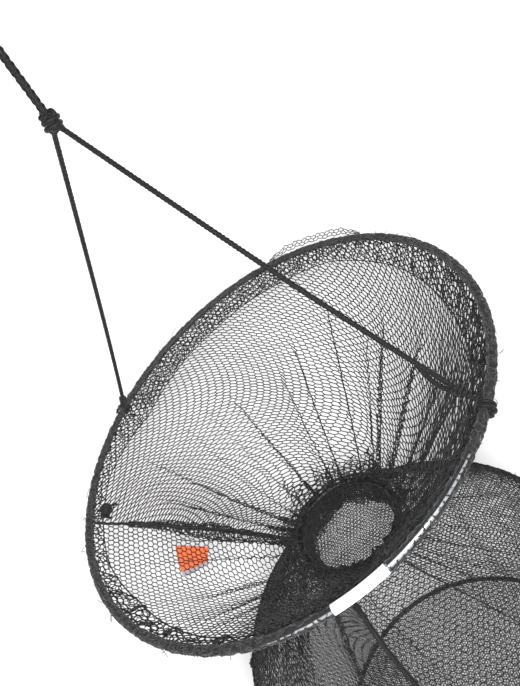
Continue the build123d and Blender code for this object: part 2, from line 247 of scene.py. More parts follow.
def tube(points, radii, sides=8, closed=False, flat=1.0, up=None):
    """A round bar along points, with its own frame carried along so that it doesn't twist."""
    points = np.asarray(points, float)
    count = len(points)
    radii = np.broadcast_to(np.asarray(radii, float), (count,))
    ahead = np.roll(points, -1, 0) - np.roll(points, 1, 0)
    if not closed:
        ahead[0], ahead[-1] = points[1] - points[0], points[-1] - points[-2]
    ahead = unit(ahead)
    side = np.empty_like(points)
    first = np.array([0.0, 0.0, 1.0]) if up is None else np.array(up, float)
    if abs(ahead[0] @ first) > 0.9:
        first = np.array([0.0, 1.0, 0.0])
    side[0] = unit(first - ahead[0] * (first @ ahead[0]))
    for i in range(1, count):
        moved = side[i - 1] - ahead[i] * (side[i - 1] @ ahead[i])
        side[i] = moved / max(np.linalg.norm(moved), 1e-12)
    other = np.cross(ahead, side)
    if closed:
        cosine, sine = side[-1] @ side[0], side[-1] @ other[0]
        slip = np.linspace(0, -math.atan2(sine, cosine), count)[:, None]
        side, other = (
            side * np.cos(slip) + other * np.sin(slip),
            other * np.cos(slip) - side * np.sin(slip),
        )
    turn = TAU * np.arange(sides) / sides
    rings = points[:, None] + radii[:, None, None] * (
        np.cos(turn)[None, :, None] * side[:, None] + flat * np.sin(turn)[None, :, None] * other[:, None]
    )
    rows = np.arange(count if closed else count - 1)
    k = np.arange(sides)
    low, high = rows[:, None] * sides, ((rows + 1) % count)[:, None] * sides
    faces = np.stack(
        [low + k, low + (k + 1) % sides, high + (k + 1) % sides, high + k], axis=2
    ).reshape(-1, 4)
    return rings.reshape(-1, 3), faces


def capped_tube(points, radius, sides=8, **options):
    """A tube whose ends round off to a point."""
    points = np.asarray(points, float)
    start, end = unit(points[0] - points[1]), unit(points[-1] - points[-2])
    whole = np.concatenate(
        [
            [points[0] + start * radius * 0.5, points[0] + start * radius * 0.35],
            points,
            [points[-1] + end * radius * 0.35, points[-1] + end * radius * 0.5],
        ]
    )
    start = [radius * 0.02, radius * 0.7]
    radii = np.concatenate([start, np.full(len(points), radius), start[::-1]])
    return tube(whole, radii, sides, **options)


def noise_rows(rng, count, waves, height):
    """A smooth closed random line of count values."""
    at = np.linspace(0, TAU, count, endpoint=False)
    made = np.zeros(count)
    for wave in range(1, waves + 1):
        made += rng.normal() * np.cos(wave * at + rng.uniform(0, TAU)) / math.sqrt(wave)
    return made * height / max(np.abs(made).max(), 1e-9)


# ---- nets --------------------------------------------------------------------------------------
def grid(columns, rows, mesh):
    """Knots in the plane and the pairs that threads join, for a hexagonal net about the origin."""
    side = mesh / math.sqrt(3)
    i, j = np.meshgrid(np.arange(-columns, columns + 1), np.arange(-rows, rows + 1))
    x, y = (i + 0.5 * (j % 2)) * mesh, j * 1.5 * side
    knots = np.stack([x, y, x + mesh / 2, y + side / 2], axis=2).reshape(-1, 2)
    row, column = np.meshgrid(np.arange(2 * rows), np.arange(2 * columns), indexing="ij")
    a = (row * (2 * columns + 1) + column) * 2
    below = ((row + 1) * (2 * columns + 1) + column + j[:-1, :-1] % 2) * 2
    ends = ((a, a + 1), (a + 1, a + 2), (a + 1, below))
    pairs = np.concatenate([np.stack(p, 2).reshape(-1, 2) for p in ends])
    return knots, pairs


def strip(width, length, mesh, angle=0.0):
    """A net cut as a strip, its threads turned by an angle: knots as (along, down), and the pairs."""
    half = math.hypot(width, length) / 2
    size = half if angle else width / 2
    deep = half if angle else length / 2
    knots, pairs = grid(math.ceil(size / mesh) + 1, math.ceil(deep / mesh * 1.16) + 1, mesh)
    cosine, sine = math.cos(angle), math.sin(angle)
    turned = np.column_stack([knots @ [cosine, -sine], knots @ [sine, cosine]])
    at = turned / [width, length] + 0.5
    inside = ((at > -0.002) & (at < 1.002)).all(1)
    return np.clip(at, 0, 1), pairs[inside[pairs].all(1)]


def fan(outer, inner, slant, extra, mesh):
    """A net cut as a fan that closes into a cone: knots as (round, down), and the pairs.
    extra(down) is how much wider than the cone's wall the cloth is, as a share."""
    narrowing = (outer - inner) / slant
    far, near = outer / narrowing, inner / narrowing
    knots, pairs = grid(math.ceil(far / mesh * 1.16) + 1, math.ceil(far / mesh * 1.3) + 1, mesh)
    knots = knots[:, ::-1]
    reach = np.linalg.norm(knots, axis=1)
    down = (far - reach) / (far - near)
    sweep = TAU * narrowing * (1 + extra(np.clip(down, 0, 1)))
    across = (np.arctan2(knots[:, 1], knots[:, 0]) % TAU) / sweep
    inside = (down > -0.012) & (down < 1.012) & (across <= 1.0)
    return np.column_stack([across, np.clip(down, 0, 1)]), pairs[inside[pairs].all(1)]


def ring_strip(width, length, mesh):
    """A net that closes round its width: knots as (round, down) from 0 to 1, and the pairs."""
    columns = max(3, round(width / mesh))
    side = mesh / math.sqrt(3)
    rows = max(1, round(length / (1.5 * side)))
    i, j = np.meshgrid(np.arange(columns), np.arange(rows + 1))
    x = (i + 0.5 * (j % 2)) / columns
    high = j * 1.5 * side
    knots = np.stack([x, high, x + 0.5 / columns, high + 0.5 * side], axis=2).reshape(-1, 2)
    index = (j * columns + i) * 2
    right = (j * columns + (i + 1) % columns) * 2
    below = ((j + 1) * columns + (i + (j % 2)) % columns) * 2
    pairs = [
        np.stack([index, index + 1], 2).reshape(-1, 2),
        np.stack([index + 1, right], 2).reshape(-1, 2),
        np.stack([index + 1, below], 2)[:-1].reshape(-1, 2),
    ]
    knots[:, 1] /= knots[:, 1].max()
    return knots % [1.0, 10.0], np.concatenate(pairs)


def ease(x):
    x = np.clip(x, 0, 1)
    return x * x * (3 - 2 * x)


class Gathers:
    """Folds that take up a net's extra cloth: flat stretches, with a fold laid over beside each."""

    def __init__(self, rng, count, early=0.0, late=0.3):
        share = rng.uniform(0.35, 1.7, count)
        self.cloth = share / share.sum()
        self.start = np.concatenate([[0], np.cumsum(self.cloth)])[:-1]
        self.onset = rng.uniform(early, late, count)
        self.pull = rng.uniform(0.3, 1.1, count)
        self.lean = rng.choice([-1.0, 1.0], count)
        self.lay = rng.uniform(0.15, 0.95, count)
        self.drift = rng.normal(0, 0.028, (6, 2))

    def place(self, across, depth, extra, ring):
        """(share of the ring, sideways shift, height off the surface) of each knot.
        depth is 0 at the wide edge and 1 at the neck, and ring the wall's length round at that depth."""
        k = np.clip(np.searchsorted(self.start, across, side="right") - 1, 0, len(self.cloth) - 1)
        along = np.clip((across - self.start[k]) / self.cloth[k], 0, 1)
        grown = ease((depth - self.onset[k]) / 0.22)
        taken = extra / (1 + extra) * grown * (self.pull[k] * (1 - depth**3) + depth**3)
        flat = 1 - np.clip(taken, 1e-4, 0.6)
        inside = np.clip((along - flat) / (1 - flat), 0, 1)
        tall = (1 - flat) * self.cloth[k] * ring * (1 + extra) / 2
        turn = TAU * inside
        lay = self.lay[k]
        leaning = self.lean[k] * tall * 0.5 * (1 - np.cos(turn)) * lay
        sideways = leaning + 0.1 * tall * np.sin(turn) * (1 - lay)
        off = (0.1 * tall + 0.0003) * np.sin(turn) * lay
        off = off + tall * 0.5 * (1 - np.cos(turn)) * np.sqrt(np.maximum(1 - lay**2, 0.03)) * 0.8
        valley = np.minimum(along / flat, 1)
        off = off - 0.9 * ease(depth * 1.4) * 0.0022 * 4 * valley * (1 - valley) * (along < flat)
        share = self.start[k] + self.cloth[k] * np.minimum(along / flat, 1)
        for wave, (a, b) in enumerate(self.drift, 1):
            drifted = a * np.sin(wave * TAU * share) + b * (1 - np.cos(wave * TAU * share))
            share = share + depth * drifted / TAU
        return share, sideways, off


def laid(surface, knots, pairs, thread, longest):
    """(vertices, faces) of a net laid on surface(round, down), which gives points."""
    points = surface(knots[:, 0], knots[:, 1])
    points = points + np.random.default_rng(7).normal(0, 0.00016, points.shape)
    step = 1e-3
    round_it = surface(knots[:, 0] + step, knots[:, 1]) - points
    down = surface(knots[:, 0], np.clip(knots[:, 1] + step, 0, 1.001)) - points
    normals = unit(np.cross(round_it, down))
    far = np.linalg.norm(points[pairs[:, 0]] - points[pairs[:, 1]], axis=1)
    pairs = pairs[far < longest]
    return threads(points, normals, pairs, thread(knots[pairs].mean(1)) if callable(thread) else thread)


def net_of(surface, width, length, mesh, thread):
    """A net of even width that closes round on itself, laid on a surface."""
    return laid(surface, *ring_strip(width, length, mesh), thread, 3 * mesh)


def ring_points(angles, radius, z, tilt=0.0):
    """Points round the axis on a circle, which may lean about X."""
    x, y = radius * np.cos(angles), radius * np.sin(angles)
    return np.stack([x, y * math.cos(tilt), z + y * math.sin(tilt)], axis=-1)


def wall(angles, depth, top, bottom):
    """Points on the straight wall between two rings, each (radius, z, tilt)."""
    high, low = ring_points(angles, *top), ring_points(angles, *bottom)
    return high + (low - high) * depth[:, None]


def off_wall(points, angles, sideways, off, slope):
    """Moves points sideways round the axis, and off the wall towards the axis and up."""
    tangent = np.stack([-np.sin(angles), np.cos(angles), np.zeros_like(angles)], axis=-1)
    level, rise = math.cos(slope), math.sin(slope)
    inward = np.stack([-np.cos(angles) * level, -np.sin(angles) * level, np.full_like(angles, rise)], axis=-1)
    return points + tangent * sideways[:, None] + inward * off[:, None]


def billow(angles, depth, rng, height):
    """A slow unevenness of slack net."""
    made = np.zeros_like(angles)
    for wave in range(3, 12):
        made += rng.normal() * np.cos(wave * angles + rng.uniform(0, TAU) + rng.normal() * 2 * depth)
    return made / 4 * height * np.sin(np.pi * depth)


# ---- materials ---------------------------------------------------------------------------------
def shader(name):
    material = bpy.data.materials.new(name)
    material.use_nodes = True
    tree = material.node_tree
    return material, tree, tree.nodes["Principled BSDF"]


def noise(tree, scale, detail=3.0):
    node = tree.nodes.new("ShaderNodeTexNoise")
    node.inputs["Scale"].default_value = scale
    node.inputs["Detail"].default_value = detail
    place = tree.nodes.new("ShaderNodeTexCoord")
    tree.links.new(place.outputs["Object"], node.inputs["Vector"])
    return node


def ramp(tree, value, *stops):
    node = tree.nodes.new("ShaderNodeValToRGB")
    node.color_ramp.elements[0].position, node.color_ramp.elements[1].position = stops[0][0], stops[-1][0]
    for position, _ in stops[1:-1]:
        node.color_ramp.elements.new(position)
    for element, (_, colour) in zip(node.color_ramp.elements, stops):
        element.color = (*colour, 1.0)
    tree.links.new(value, node.inputs["Fac"])
    return node.outputs["Color"]


def bump(tree, value, strength, distance, target):
    node = tree.nodes.new("ShaderNodeBump")
    node.inputs["Strength"].default_value = strength
    node.inputs["Distance"].default_value = distance
    tree.links.new(value, node.inputs["Height"])
    tree.links.new(node.outputs["Normal"], target.inputs["Normal"])


def shade(colour, times):
    return tuple(min(1.0, c * times) for c in colour)


def thread_material(name, colour, rough=0.5, sheen=0.05, grain=900.0):
    """Twisted synthetic thread: dark, with a fibre grain and a little lint."""
    material, tree, bsdf = shader(name)
    spots = noise(tree, grain, 4.0)
    tree.links.new(
        ramp(
            tree, spots.outputs["Fac"], (0.3, shade(colour, 0.6)), (0.6, colour), (0.85, shade(colour, 3.2))
        ),
        bsdf.inputs["Base Color"],
    )
    bsdf.inputs["Roughness"].default_value = rough
    bsdf.inputs["Specular IOR Level"].default_value = 0.2
    bsdf.inputs["Sheen Weight"].default_value = sheen
    bsdf.inputs["Sheen Roughness"].default_value = 0.4
    bump(tree, spots.outputs["Fac"], 0.35, 0.0003, bsdf)
    return material


def wire_material(colour):
    """Glossy coating with small scuffs."""
    material, tree, bsdf = shader("coated_wire")
    scuffs = noise(tree, 260.0, 6.0)
    tree.links.new(
        ramp(
            tree, scuffs.outputs["Fac"], (0.35, shade(colour, 0.7)), (0.7, colour), (0.9, shade(colour, 3.0))
        ),
        bsdf.inputs["Base Color"],
    )
    bsdf.inputs["Roughness"].default_value = 0.26
    bsdf.inputs["Metallic"].default_value = 0.5
    bsdf.inputs["Coat Weight"].default_value = 0.5
    bsdf.inputs["Coat Roughness"].default_value = 0.15
    bump(tree, scuffs.outputs["Fac"], 0.12, 0.0003, bsdf)
    return material


def ferrule_material(colour):
    """White plastic tube, smudged by use."""
    material, tree, bsdf = shader("ferrule_white")
    smudge = noise(tree, 160.0, 7.0)
    tree.links.new(
        ramp(
            tree, smudge.outputs["Fac"], (0.3, shade(colour, 0.55)), (0.45, shade(colour, 0.95)), (0.7, colour)
        ),
        bsdf.inputs["Base Color"],
    )
    bsdf.inputs["Roughness"].default_value = 0.38
    bsdf.inputs["Coat Weight"].default_value = 0.3
    bump(tree, smudge.outputs["Fac"], 0.15, 0.0004, bsdf)
    return material


def tag_material(name, colour):
    """Close-woven cloth: warp and weft as two fine waves."""
    material, tree, bsdf = shader(name)
    place = tree.nodes.new("ShaderNodeTexCoord")
    weave = []
    for direction in ("X", "Y"):
        wave = tree.nodes.new("ShaderNodeTexWave")
        wave.bands_direction = direction
        wave.inputs["Scale"].default_value = 420.0
        tree.links.new(place.outputs["Object"], wave.inputs["Vector"])
        weave.append(wave.outputs["Fac"])
    both = tree.nodes.new("ShaderNodeMath")
    both.operation = "MULTIPLY"
    tree.links.new(weave[0], both.inputs[0])
    tree.links.new(weave[1], both.inputs[1])
    tree.links.new(
        ramp(tree, both.outputs[0], (0.0, shade(colour, 0.7)), (0.6, colour), (1.0, shade(colour, 1.15))),
        bsdf.inputs["Base Color"],
    )
    bsdf.inputs["Roughness"].default_value = 0.75
    bsdf.inputs["Sheen Weight"].default_value = 0.2
    bump(tree, both.outputs[0], 0.3, 0.0003, bsdf)
    return material


FINISHES = {}


def finish_of(name):
    if not FINISHES:
        scene = bpy.context.scene
        net, cord, trim = scene.crab_net.colour, scene.crab_cord.colour, scene.crab_trim
        FINISHES["net_black"] = thread_material("net_black", tuple(net))
        FINISHES["thread_black"] = thread_material("thread_black", tuple(net), rough=0.6)
        # painted light: the black net's colour made about three and a half times lighter, standing in for the
        # grey sheen of the lit roll on the mouth hoop
        FINISHES["net_roll_painted_light"] = thread_material("net_roll_painted_light", (0.016, 0.0165, 0.016), rough=0.55, sheen=0.15)
        FINISHES["cord_black"] = thread_material(
            "cord_black", tuple(cord), rough=0.62, sheen=0.08, grain=1500.0
        )
        FINISHES["rope_black"] = thread_material(
            "rope_black", tuple(cord), rough=0.66, sheen=0.08, grain=1100.0
        )
        FINISHES["coated_wire"] = wire_material(tuple(trim.wire))
        FINISHES["ferrule_white"] = ferrule_material(tuple(trim.ferrule))
        FINISHES["tag_orange"] = tag_material("tag_orange", tuple(trim.tag))
        FINISHES["tag_edge"] = tag_material("tag_edge", (0.3, 0.3, 0.33))
    return FINISHES[name]


# ---- the object's pieces -----------------------------------------------------------------------
def mouth_circle(angles, radius=HOOP_R, rise=0.0):
    """Points beside the mouth hoop, in its own leaning plane."""
    points = ring_points(angles, radius, MOUTH_Z, MOUTH_TILT)
    up = np.array([0, -math.sin(MOUTH_TILT), math.cos(MOUTH_TILT)])
    return points + up * np.asarray(rise)[..., None]


def level_circle(z):
    def circle(angles, radius=HOOP_R, rise=0.0):
        return ring_points(angles, radius, z + rise)

    return circle


HOOPS = {
    "mouth": (mouth_circle, MOUTH_FERRULE_AT, "mouth"),
    "shoulder": (level_circle(SHOULDER_Z), SHOULDER_FERRULE_AT, "shoulder"),
    "base": (level_circle(BASE_Z), BASE_FERRULE_AT, "base"),
}
# the mouth hoop's roll and whipping take the lighter net colour, which is painted light
ROLL_FINISH = {"mouth": "net_roll_painted_light", "shoulder": "net_black", "base": "net_black"}
FERRULE_HALF = 0.01655 / HOOP_R  # half of the ferrule's length, as an angle


def around_bar(circle, angles, turns, radius):
    """Points round the bar of a hoop: angles along the hoop, and turns round the bar."""
    return circle(angles, HOOP_R + np.cos(turns) * radius, np.sin(turns) * radius)


def rolled_edge(name, circle, ferrule_at):
    """The net's edge rolled round the hoop wire: layers of mesh, one over another."""
    net = bpy.context.scene.crab_net
    free = TAU - 2 * FERRULE_HALF
    layers = []
    for layer, radius in enumerate((0.66, 0.74, 0.82)):
        radius *= SLEEVE_R

        def surface(turn, along, radius=radius, layer=layer):
            angles = ferrule_at + FERRULE_HALF + along * free
            twist = turn * TAU + along * free * (5 + 3 * layer) + layer
            lump = 1 + 0.05 * np.sin(angles * 61 + layer) + 0.04 * np.sin(angles * 37)
            return around_bar(circle, angles, twist, radius * lump)

        vertices, faces = net_of(surface, TAU * radius, free * HOOP_R, net.mesh, net.thread)
        layers.append((vertices, faces[~bare(name, vertices[faces[:, 0]], 0.35)]))
    along = ferrule_at + FERRULE_HALF + np.linspace(0, free, 900)
    vertices, faces = tube(circle(along), WIRE / 2 + 0.00022, 40)
    layers.append((vertices, faces[~bare(name, vertices[faces].mean(1))]))
    piece = new_mesh(name + "_rolled_net", *joined(layers), finish_of(ROLL_FINISH[name]))
    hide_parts(name + "_hoop_sleeve")
    return piece


BARE_ARC = (-64.0, -12.0)  # degrees round the mouth hoop
BARE_FACE = 0.95  # radians: its middle, from straight out towards straight up
BARE_WIDTH = 0.6  # radians each way, at its widest


def bare(name, points, width=0.0):
    """Which points lie where the roll has slipped down off the upper face of the mouth's wire."""
    if name != "mouth":
        return np.zeros(len(points), bool)
    heading_of = np.degrees(np.arctan2(points[:, 1], points[:, 0]))
    start, end = BARE_ARC
    level = MOUTH_Z + points[:, 1] * math.tan(MOUTH_TILT)
    outward = np.hypot(points[:, 0], points[:, 1]) - HOOP_R
    face = np.arctan2(points[:, 2] - level, outward)
    share = np.clip((heading_of - start) / (end - start), 0, 1)
    width = width + BARE_WIDTH * (0.3 + 0.7 * np.sin(np.pi * share ** 0.8))
    return (heading_of > start) & (heading_of < end) & (np.abs(face - BARE_FACE) < width)


def whipping(name, circle, ferrule_at):
    """One thread that spirals all the way round the rolled edge."""
    cord = bpy.context.scene.crab_cord
    free = TAU - 2 * FERRULE_HALF
    turns = round(free * HOOP_R / cord.whip_step)
    along = np.linspace(0, 1, turns * 14)
    wobble = 0.35 * np.sin(along * turns * 1.7) + 0.25 * np.sin(along * turns * 0.83 + 1)
    angles = ferrule_at + FERRULE_HALF + along * free
    points = around_bar(circle, angles, along * turns * TAU + wobble, SLEEVE_R * 0.84)
    vertices, faces = capped_tube(points, cord.whipping / 2, 5)
    faces = faces[~bare(name, vertices[faces[:, 0]], 3.2)]
    piece = new_mesh(name + "_whipping", vertices, faces, finish_of(ROLL_FINISH[name]))
    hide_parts(name + "_hoop_lashing")
    return piece


def fuzz(rng, circle, count, longest):
    """Short cut thread ends that stand out of a rolled edge."""
    hairs = []
    for at, turn, reach, bend in zip(
        rng.uniform(0, TAU, count),
        rng.uniform(-2.0, 2.6, count),
        rng.uniform(0.3, 1, count),
        rng.normal(0, 0.012, (count, 2)),
    ):
        share = np.linspace(0, 1, 5)
        out = SLEEVE_R + share * reach * longest
        points = around_bar(circle, at + bend[0] * share**2 * 2, turn + bend[1] * 20 * share**2, out)
        hairs.append(tube(points, 0.00018, 3))
    return joined(hairs)


class OBJECT_OT_crab_hoops(bpy.types.Operator):
    """Rolls the net round each hoop, whips it and finishes the wires and ferrules"""

    bl_idname = "crabtrap.hoops"
    bl_label = "Hoops"

    def execute(self, context):
        rng = np.random.default_rng(21)
        for name, (circle, ferrule_at, body) in HOOPS.items():
            for piece, slot in (
                (rolled_edge(name, circle, ferrule_at), "net_black"),
                (whipping(name, circle, ferrule_at), "thread_black"),
            ):
                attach(piece, body)
            hairs = new_mesh(name + "_edge_fuzz", *fuzz(rng, circle, 90, 0.0035), finish_of("net_black"))
            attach(hairs, body)
            finish_node(name + "_hoop_wire", "coated_wire")
            finish_node(name + "_hoop_ferrule", "ferrule_white")
        return {"FINISHED"}


def finish_node(node, finish):
    """Gives a node that keeps its own shape its material."""
    piece = frame["nodes"][node]
    piece.data.materials.clear()
    piece.data.materials.append(finish_of(finish))


FUNNEL_TOP = (HOOP_R - SLEEVE_R * 0.45, MOUTH_Z - SLEEVE_R * 0.3, MOUTH_TILT)
FUNNEL_LOW = (THROAT_R, THROAT_Z + THROAT_HEM_R * 0.6, 0.0)
FUNNEL_SLOPE = math.atan2(HOOP_R - THROAT_R, MOUTH_Z - THROAT_Z)
FUNNEL_LENGTH = math.hypot(HOOP_R - THROAT_R, MOUTH_Z - THROAT_Z)
NET_WIDTH = TAU * HOOP_R
HEM = (  # width of the doubled net inside the mouth hoop, at shares of the way round from the seam
    (0.0, 0.009), (0.04, 0.010), (0.085, 0.017), (0.14, 0.015), (0.2, 0.012), (0.3, 0.011),
    (0.47, 0.022), (0.56, 0.018), (0.64, 0.013), (0.8, 0.018), (0.88, 0.022), (0.95, 0.010), (1.0, 0.009),
)
# the second layer's share of that width
SECOND_LAYER = ((0, 0.25), (0.6, 0.25), (0.68, 1), (0.86, 1), (0.92, 0.25), (1, 0.25))


def funnel_extra(down):
    """How much wider than the funnel's wall its cloth is: most of it near the throat."""
    return 0.05 + 0.28 * down + 0.2 * down**2.2


def funnel_surface(rng):
    gathers = Gathers(rng, bpy.context.scene.crab_net.pleats, 0.02, 0.36)
    waves = np.random.default_rng(5)
    state = waves.bit_generator.state

    def surface(across, down, lift=0.0):
        ring = TAU * (HOOP_R + (THROAT_R - HOOP_R) * down)
        share, sideways, off = gathers.place(across, down, funnel_extra(down), ring)
        angles = FUNNEL_SEAM_AT + SEAM_LEAN * (0.3 - down) + share * TAU
        waves.bit_generator.state = state
        off = off + billow(angles, down, waves, 0.0022) + lift
        return off_wall(wall(angles, down, FUNNEL_TOP, FUNNEL_LOW), angles, sideways, off, FUNNEL_SLOPE)

    return surface


SEAM_LEAN = 0.12  # radians that the funnel's seam turns about the axis on its way down


def hem_layers(surface, rng, net, deep, count=2):
    """Extra layers of net beside a hoop, whose free edge wanders. Returns them and the edge's depth."""
    shares, widths = zip(*deep)
    edge = np.interp(np.linspace(0, 1, 720), shares, widths) * (1 + noise_rows(rng, 720, 14, 0.12))
    layers = []
    for layer in range(count):
        knots, pairs = strip(NET_WIDTH, 0.03, net.mesh, 0.35 + 0.9 * layer)
        limit = np.interp(knots[:, 0], np.linspace(0, 1, 720), edge) / 0.03
        if layer:
            limit = limit * np.interp(knots[:, 0], *zip(*SECOND_LAYER))
        pairs = pairs[(knots[pairs, 1] < limit[pairs]).all(1)]
        waver = 0.0008 * rng.normal(size=3)

        def raised(across, down, layer=layer, waver=waver):
            ripple = waver[0] * np.sin(across * 300) + waver[1] * np.sin(across * 170 + down * 9)
            lift = 0.0012 * (layer + 1) + ripple + 0.0012 * down
            return surface(across % 1.0, down * 0.03 / FUNNEL_LENGTH, lift)

        layers.append(laid(raised, knots, pairs, net.thread, 3 * net.mesh))
    return layers, edge


def roll(surface, across, depth, thick, lift, rng):
    """A gathered seam: a lumpy roll with threads wound round it."""
    line = surface(across % 1, depth, lift)
    thick = thick * (0.75 + 0.5 * ease(depth * 2))
    parts = [tube(line, thick * (0.85 + 0.3 * rng.random(len(line))), 8, flat=0.8)]
    for turn in range(3):
        spin = depth * 50 + turn * TAU / 3
        aside = thick * 0.9 / NET_WIDTH * np.cos(spin)
        wound = surface((across + aside) % 1, depth, lift + thick * 0.75 * np.sin(spin))
        parts.append(tube(wound, thick * 0.42, 5))
    return parts


def crumple(surface, rng, net, half, start, end, layers=2):
    """Slack net bunched along both sides of a seam."""
    made = []
    for layer in range(layers):
        knots, pairs = strip(2 * half, (end - start) * FUNNEL_LENGTH, net.mesh * 0.8, 0.6 + layer)
        jog = rng.normal(0, 0.0011, len(knots))

        def raised(aside, down, jog=jog):
            depth = start + (end - start) * down
            uneven = 0.8 + 0.2 * np.sin(down * 41) * np.sin(down * 17)
            swell = 0.25 + 0.75 * np.sin(np.pi * down) ** 1.5 * uneven
            spread = (aside - 0.55) * 2 * half * swell / NET_WIDTH / np.maximum(1 - 0.75 * depth, 0.2)
            return surface(spread % 1, depth, 0.0012 + jog * np.sin(np.pi * np.clip(aside, 0, 1)))

        made.append(laid(raised, knots, pairs, net.thread, 3 * net.mesh))
    return made


def bunched(surface, rng, net, layers=2):
    """Short extra folds of net, bunched up just above the throat."""
    made = []
    for layer in range(layers):
        width = TAU * THROAT_R * 1.5
        knots, pairs = strip(width, 0.034, net.mesh * 0.85, 0.3 + layer)
        limit = 0.3 + 0.7 * np.abs(noise_rows(rng, 300, 30, 1.0))
        reach = np.interp(knots[:, 0], np.linspace(0, 1, 300), limit)
        pairs = pairs[(1 - knots[pairs, 1] < reach[pairs]).all(1)]
        jog = rng.normal(0, 0.0009, len(knots))

        def tucked(across, down, jog=jog):
            return surface(across % 1, 0.82 + 0.18 * down, 0.0012 + jog)

        made.append(laid(tucked, knots, pairs, net.thread, 3 * net.mesh))
    return made


# where the funnel's thread is thinner, which is painted light: the net near the seam made lighter; share of the
# way round from the seam, spread and by how much
PAINTED_LIGHT_AT, PAINTED_LIGHT_SPREAD, PAINTED_LIGHT_BY = 0.1, 0.06, 0.38


class OBJECT_OT_crab_funnel(bpy.types.Operator):
    """Makes the funnel net, its hem and seam, with slack net bunched beside the seam and above the throat,
    gathered from the mouth hoop to the throat
    """

    bl_idname = "crabtrap.funnel"
    bl_label = "Funnel"

    def execute(self, context):
        net = context.scene.crab_net
        black = finish_of("net_black")
        surface = funnel_surface(np.random.default_rng(3))
        cut = fan(HOOP_R, THROAT_R, FUNNEL_LENGTH, funnel_extra, net.mesh)

        def thread(places):
            # thinner thread near the seam is painted light: it makes the net there look lighter
            drawn = np.exp(-(((places[:, 0] - PAINTED_LIGHT_AT) / PAINTED_LIGHT_SPREAD) ** 2) / 2)
            return net.thread * (1 - PAINTED_LIGHT_BY * drawn)

        funnel = new_mesh("funnel_netting", *laid(surface, *cut, thread, 3 * net.mesh), black)
        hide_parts("funnel_net")
        rng = np.random.default_rng(8)
        layers, edge = hem_layers(surface, rng, net, HEM)
        across = np.linspace(0.001, 0.999, 700)
        rim = surface(across, np.interp(across, np.linspace(0, 1, 720), edge) / FUNNEL_LENGTH, 0.002)
        hem = new_mesh("mouth_hem_netting", *joined(layers + [tube(rim, 0.00045, 4)]), black)
        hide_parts("mouth_hem")
        depth = np.linspace(0.0, 0.985, 140)
        seam = new_mesh(
            "funnel_seam_roll",
            *joined(roll(surface, 0.0008 * np.sin(depth * 19), depth, 0.00125, 0.0016, rng)),
            finish_of("thread_black"),
        )
        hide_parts("funnel_seam")
        bunch = new_mesh("funnel_seam_slack", *joined(crumple(surface, rng, net, 0.010, 0.16, 0.96)), black)
        gathered = new_mesh("throat_gathers", *joined(bunched(surface, rng, net)), black)
        for piece in (funnel, hem, seam, bunch, gathered):
            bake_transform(piece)
        fan_area(HOOP_R, THROAT_R, FUNNEL_LENGTH, funnel_extra)
        return {"FINISHED"}


def fan_area(outer, inner, slant, extra):
    """Flat area of the net that fan() cuts."""
    down = np.linspace(0, 1, 201)
    return float(np.mean(TAU * (outer + (inner - outer) * down) * (1 + extra(down))) * slant)


SHOULDER_TOP = (NECK_R, THROAT_Z - 0.0013, 0.0)
SHOULDER_LOW = (HOOP_R - SLEEVE_R * 0.45, SHOULDER_Z + SLEEVE_R * 0.3, 0.0)
SHOULDER_SLOPE = math.atan2(HOOP_R - NECK_R, THROAT_Z - SHOULDER_Z)
SHOULDER_LENGTH = math.hypot(HOOP_R - NECK_R, THROAT_Z - SHOULDER_Z)


def shoulder_extra(down):
    """How much wider than the sloping wall its cloth is, from the hoop up to the throat."""
    return 0.02 + 0.07 * down + 0.38 * down**2.2


def shoulder_surface(rng):
    """Takes depth from the hoop up: 0 at the shoulder hoop and 1 at the throat."""
    gathers = Gathers(rng, bpy.context.scene.crab_net.pleats - 4, 0.02, 0.45)
    waves = np.random.default_rng(15)
    state = waves.bit_generator.state

    def surface(across, up, lift=0.0):
        ring = TAU * (HOOP_R + (NECK_R - HOOP_R) * up)
        share, sideways, off = gathers.place(across, up, shoulder_extra(up), ring)
        angles = SHOULDER_SEAM_AT + 0.19 - 0.42 * up**2 + share * TAU
        waves.bit_generator.state = state
        off = -off + billow(angles, up, waves, 0.002) - lift
        points = wall(angles, 1 - up, SHOULDER_TOP, SHOULDER_LOW)
        return off_wall(points, angles, sideways, off, -SHOULDER_SLOPE)

    return surface


SHADE_NET_HEADINGS = (122, 166)  # degrees: where the side wall is doubled with closer net, which is painted shade: a dark sheet that darkens the chamber seen through the throat
SHADE_NET_DEPTHS = (0.02, 0.5)  # shares of the way down the side wall
SHADE_NET_LIFT = 0.0016  # inside the wall
SHADE_NET_THREAD = 1.2  # times the bottom net's thread


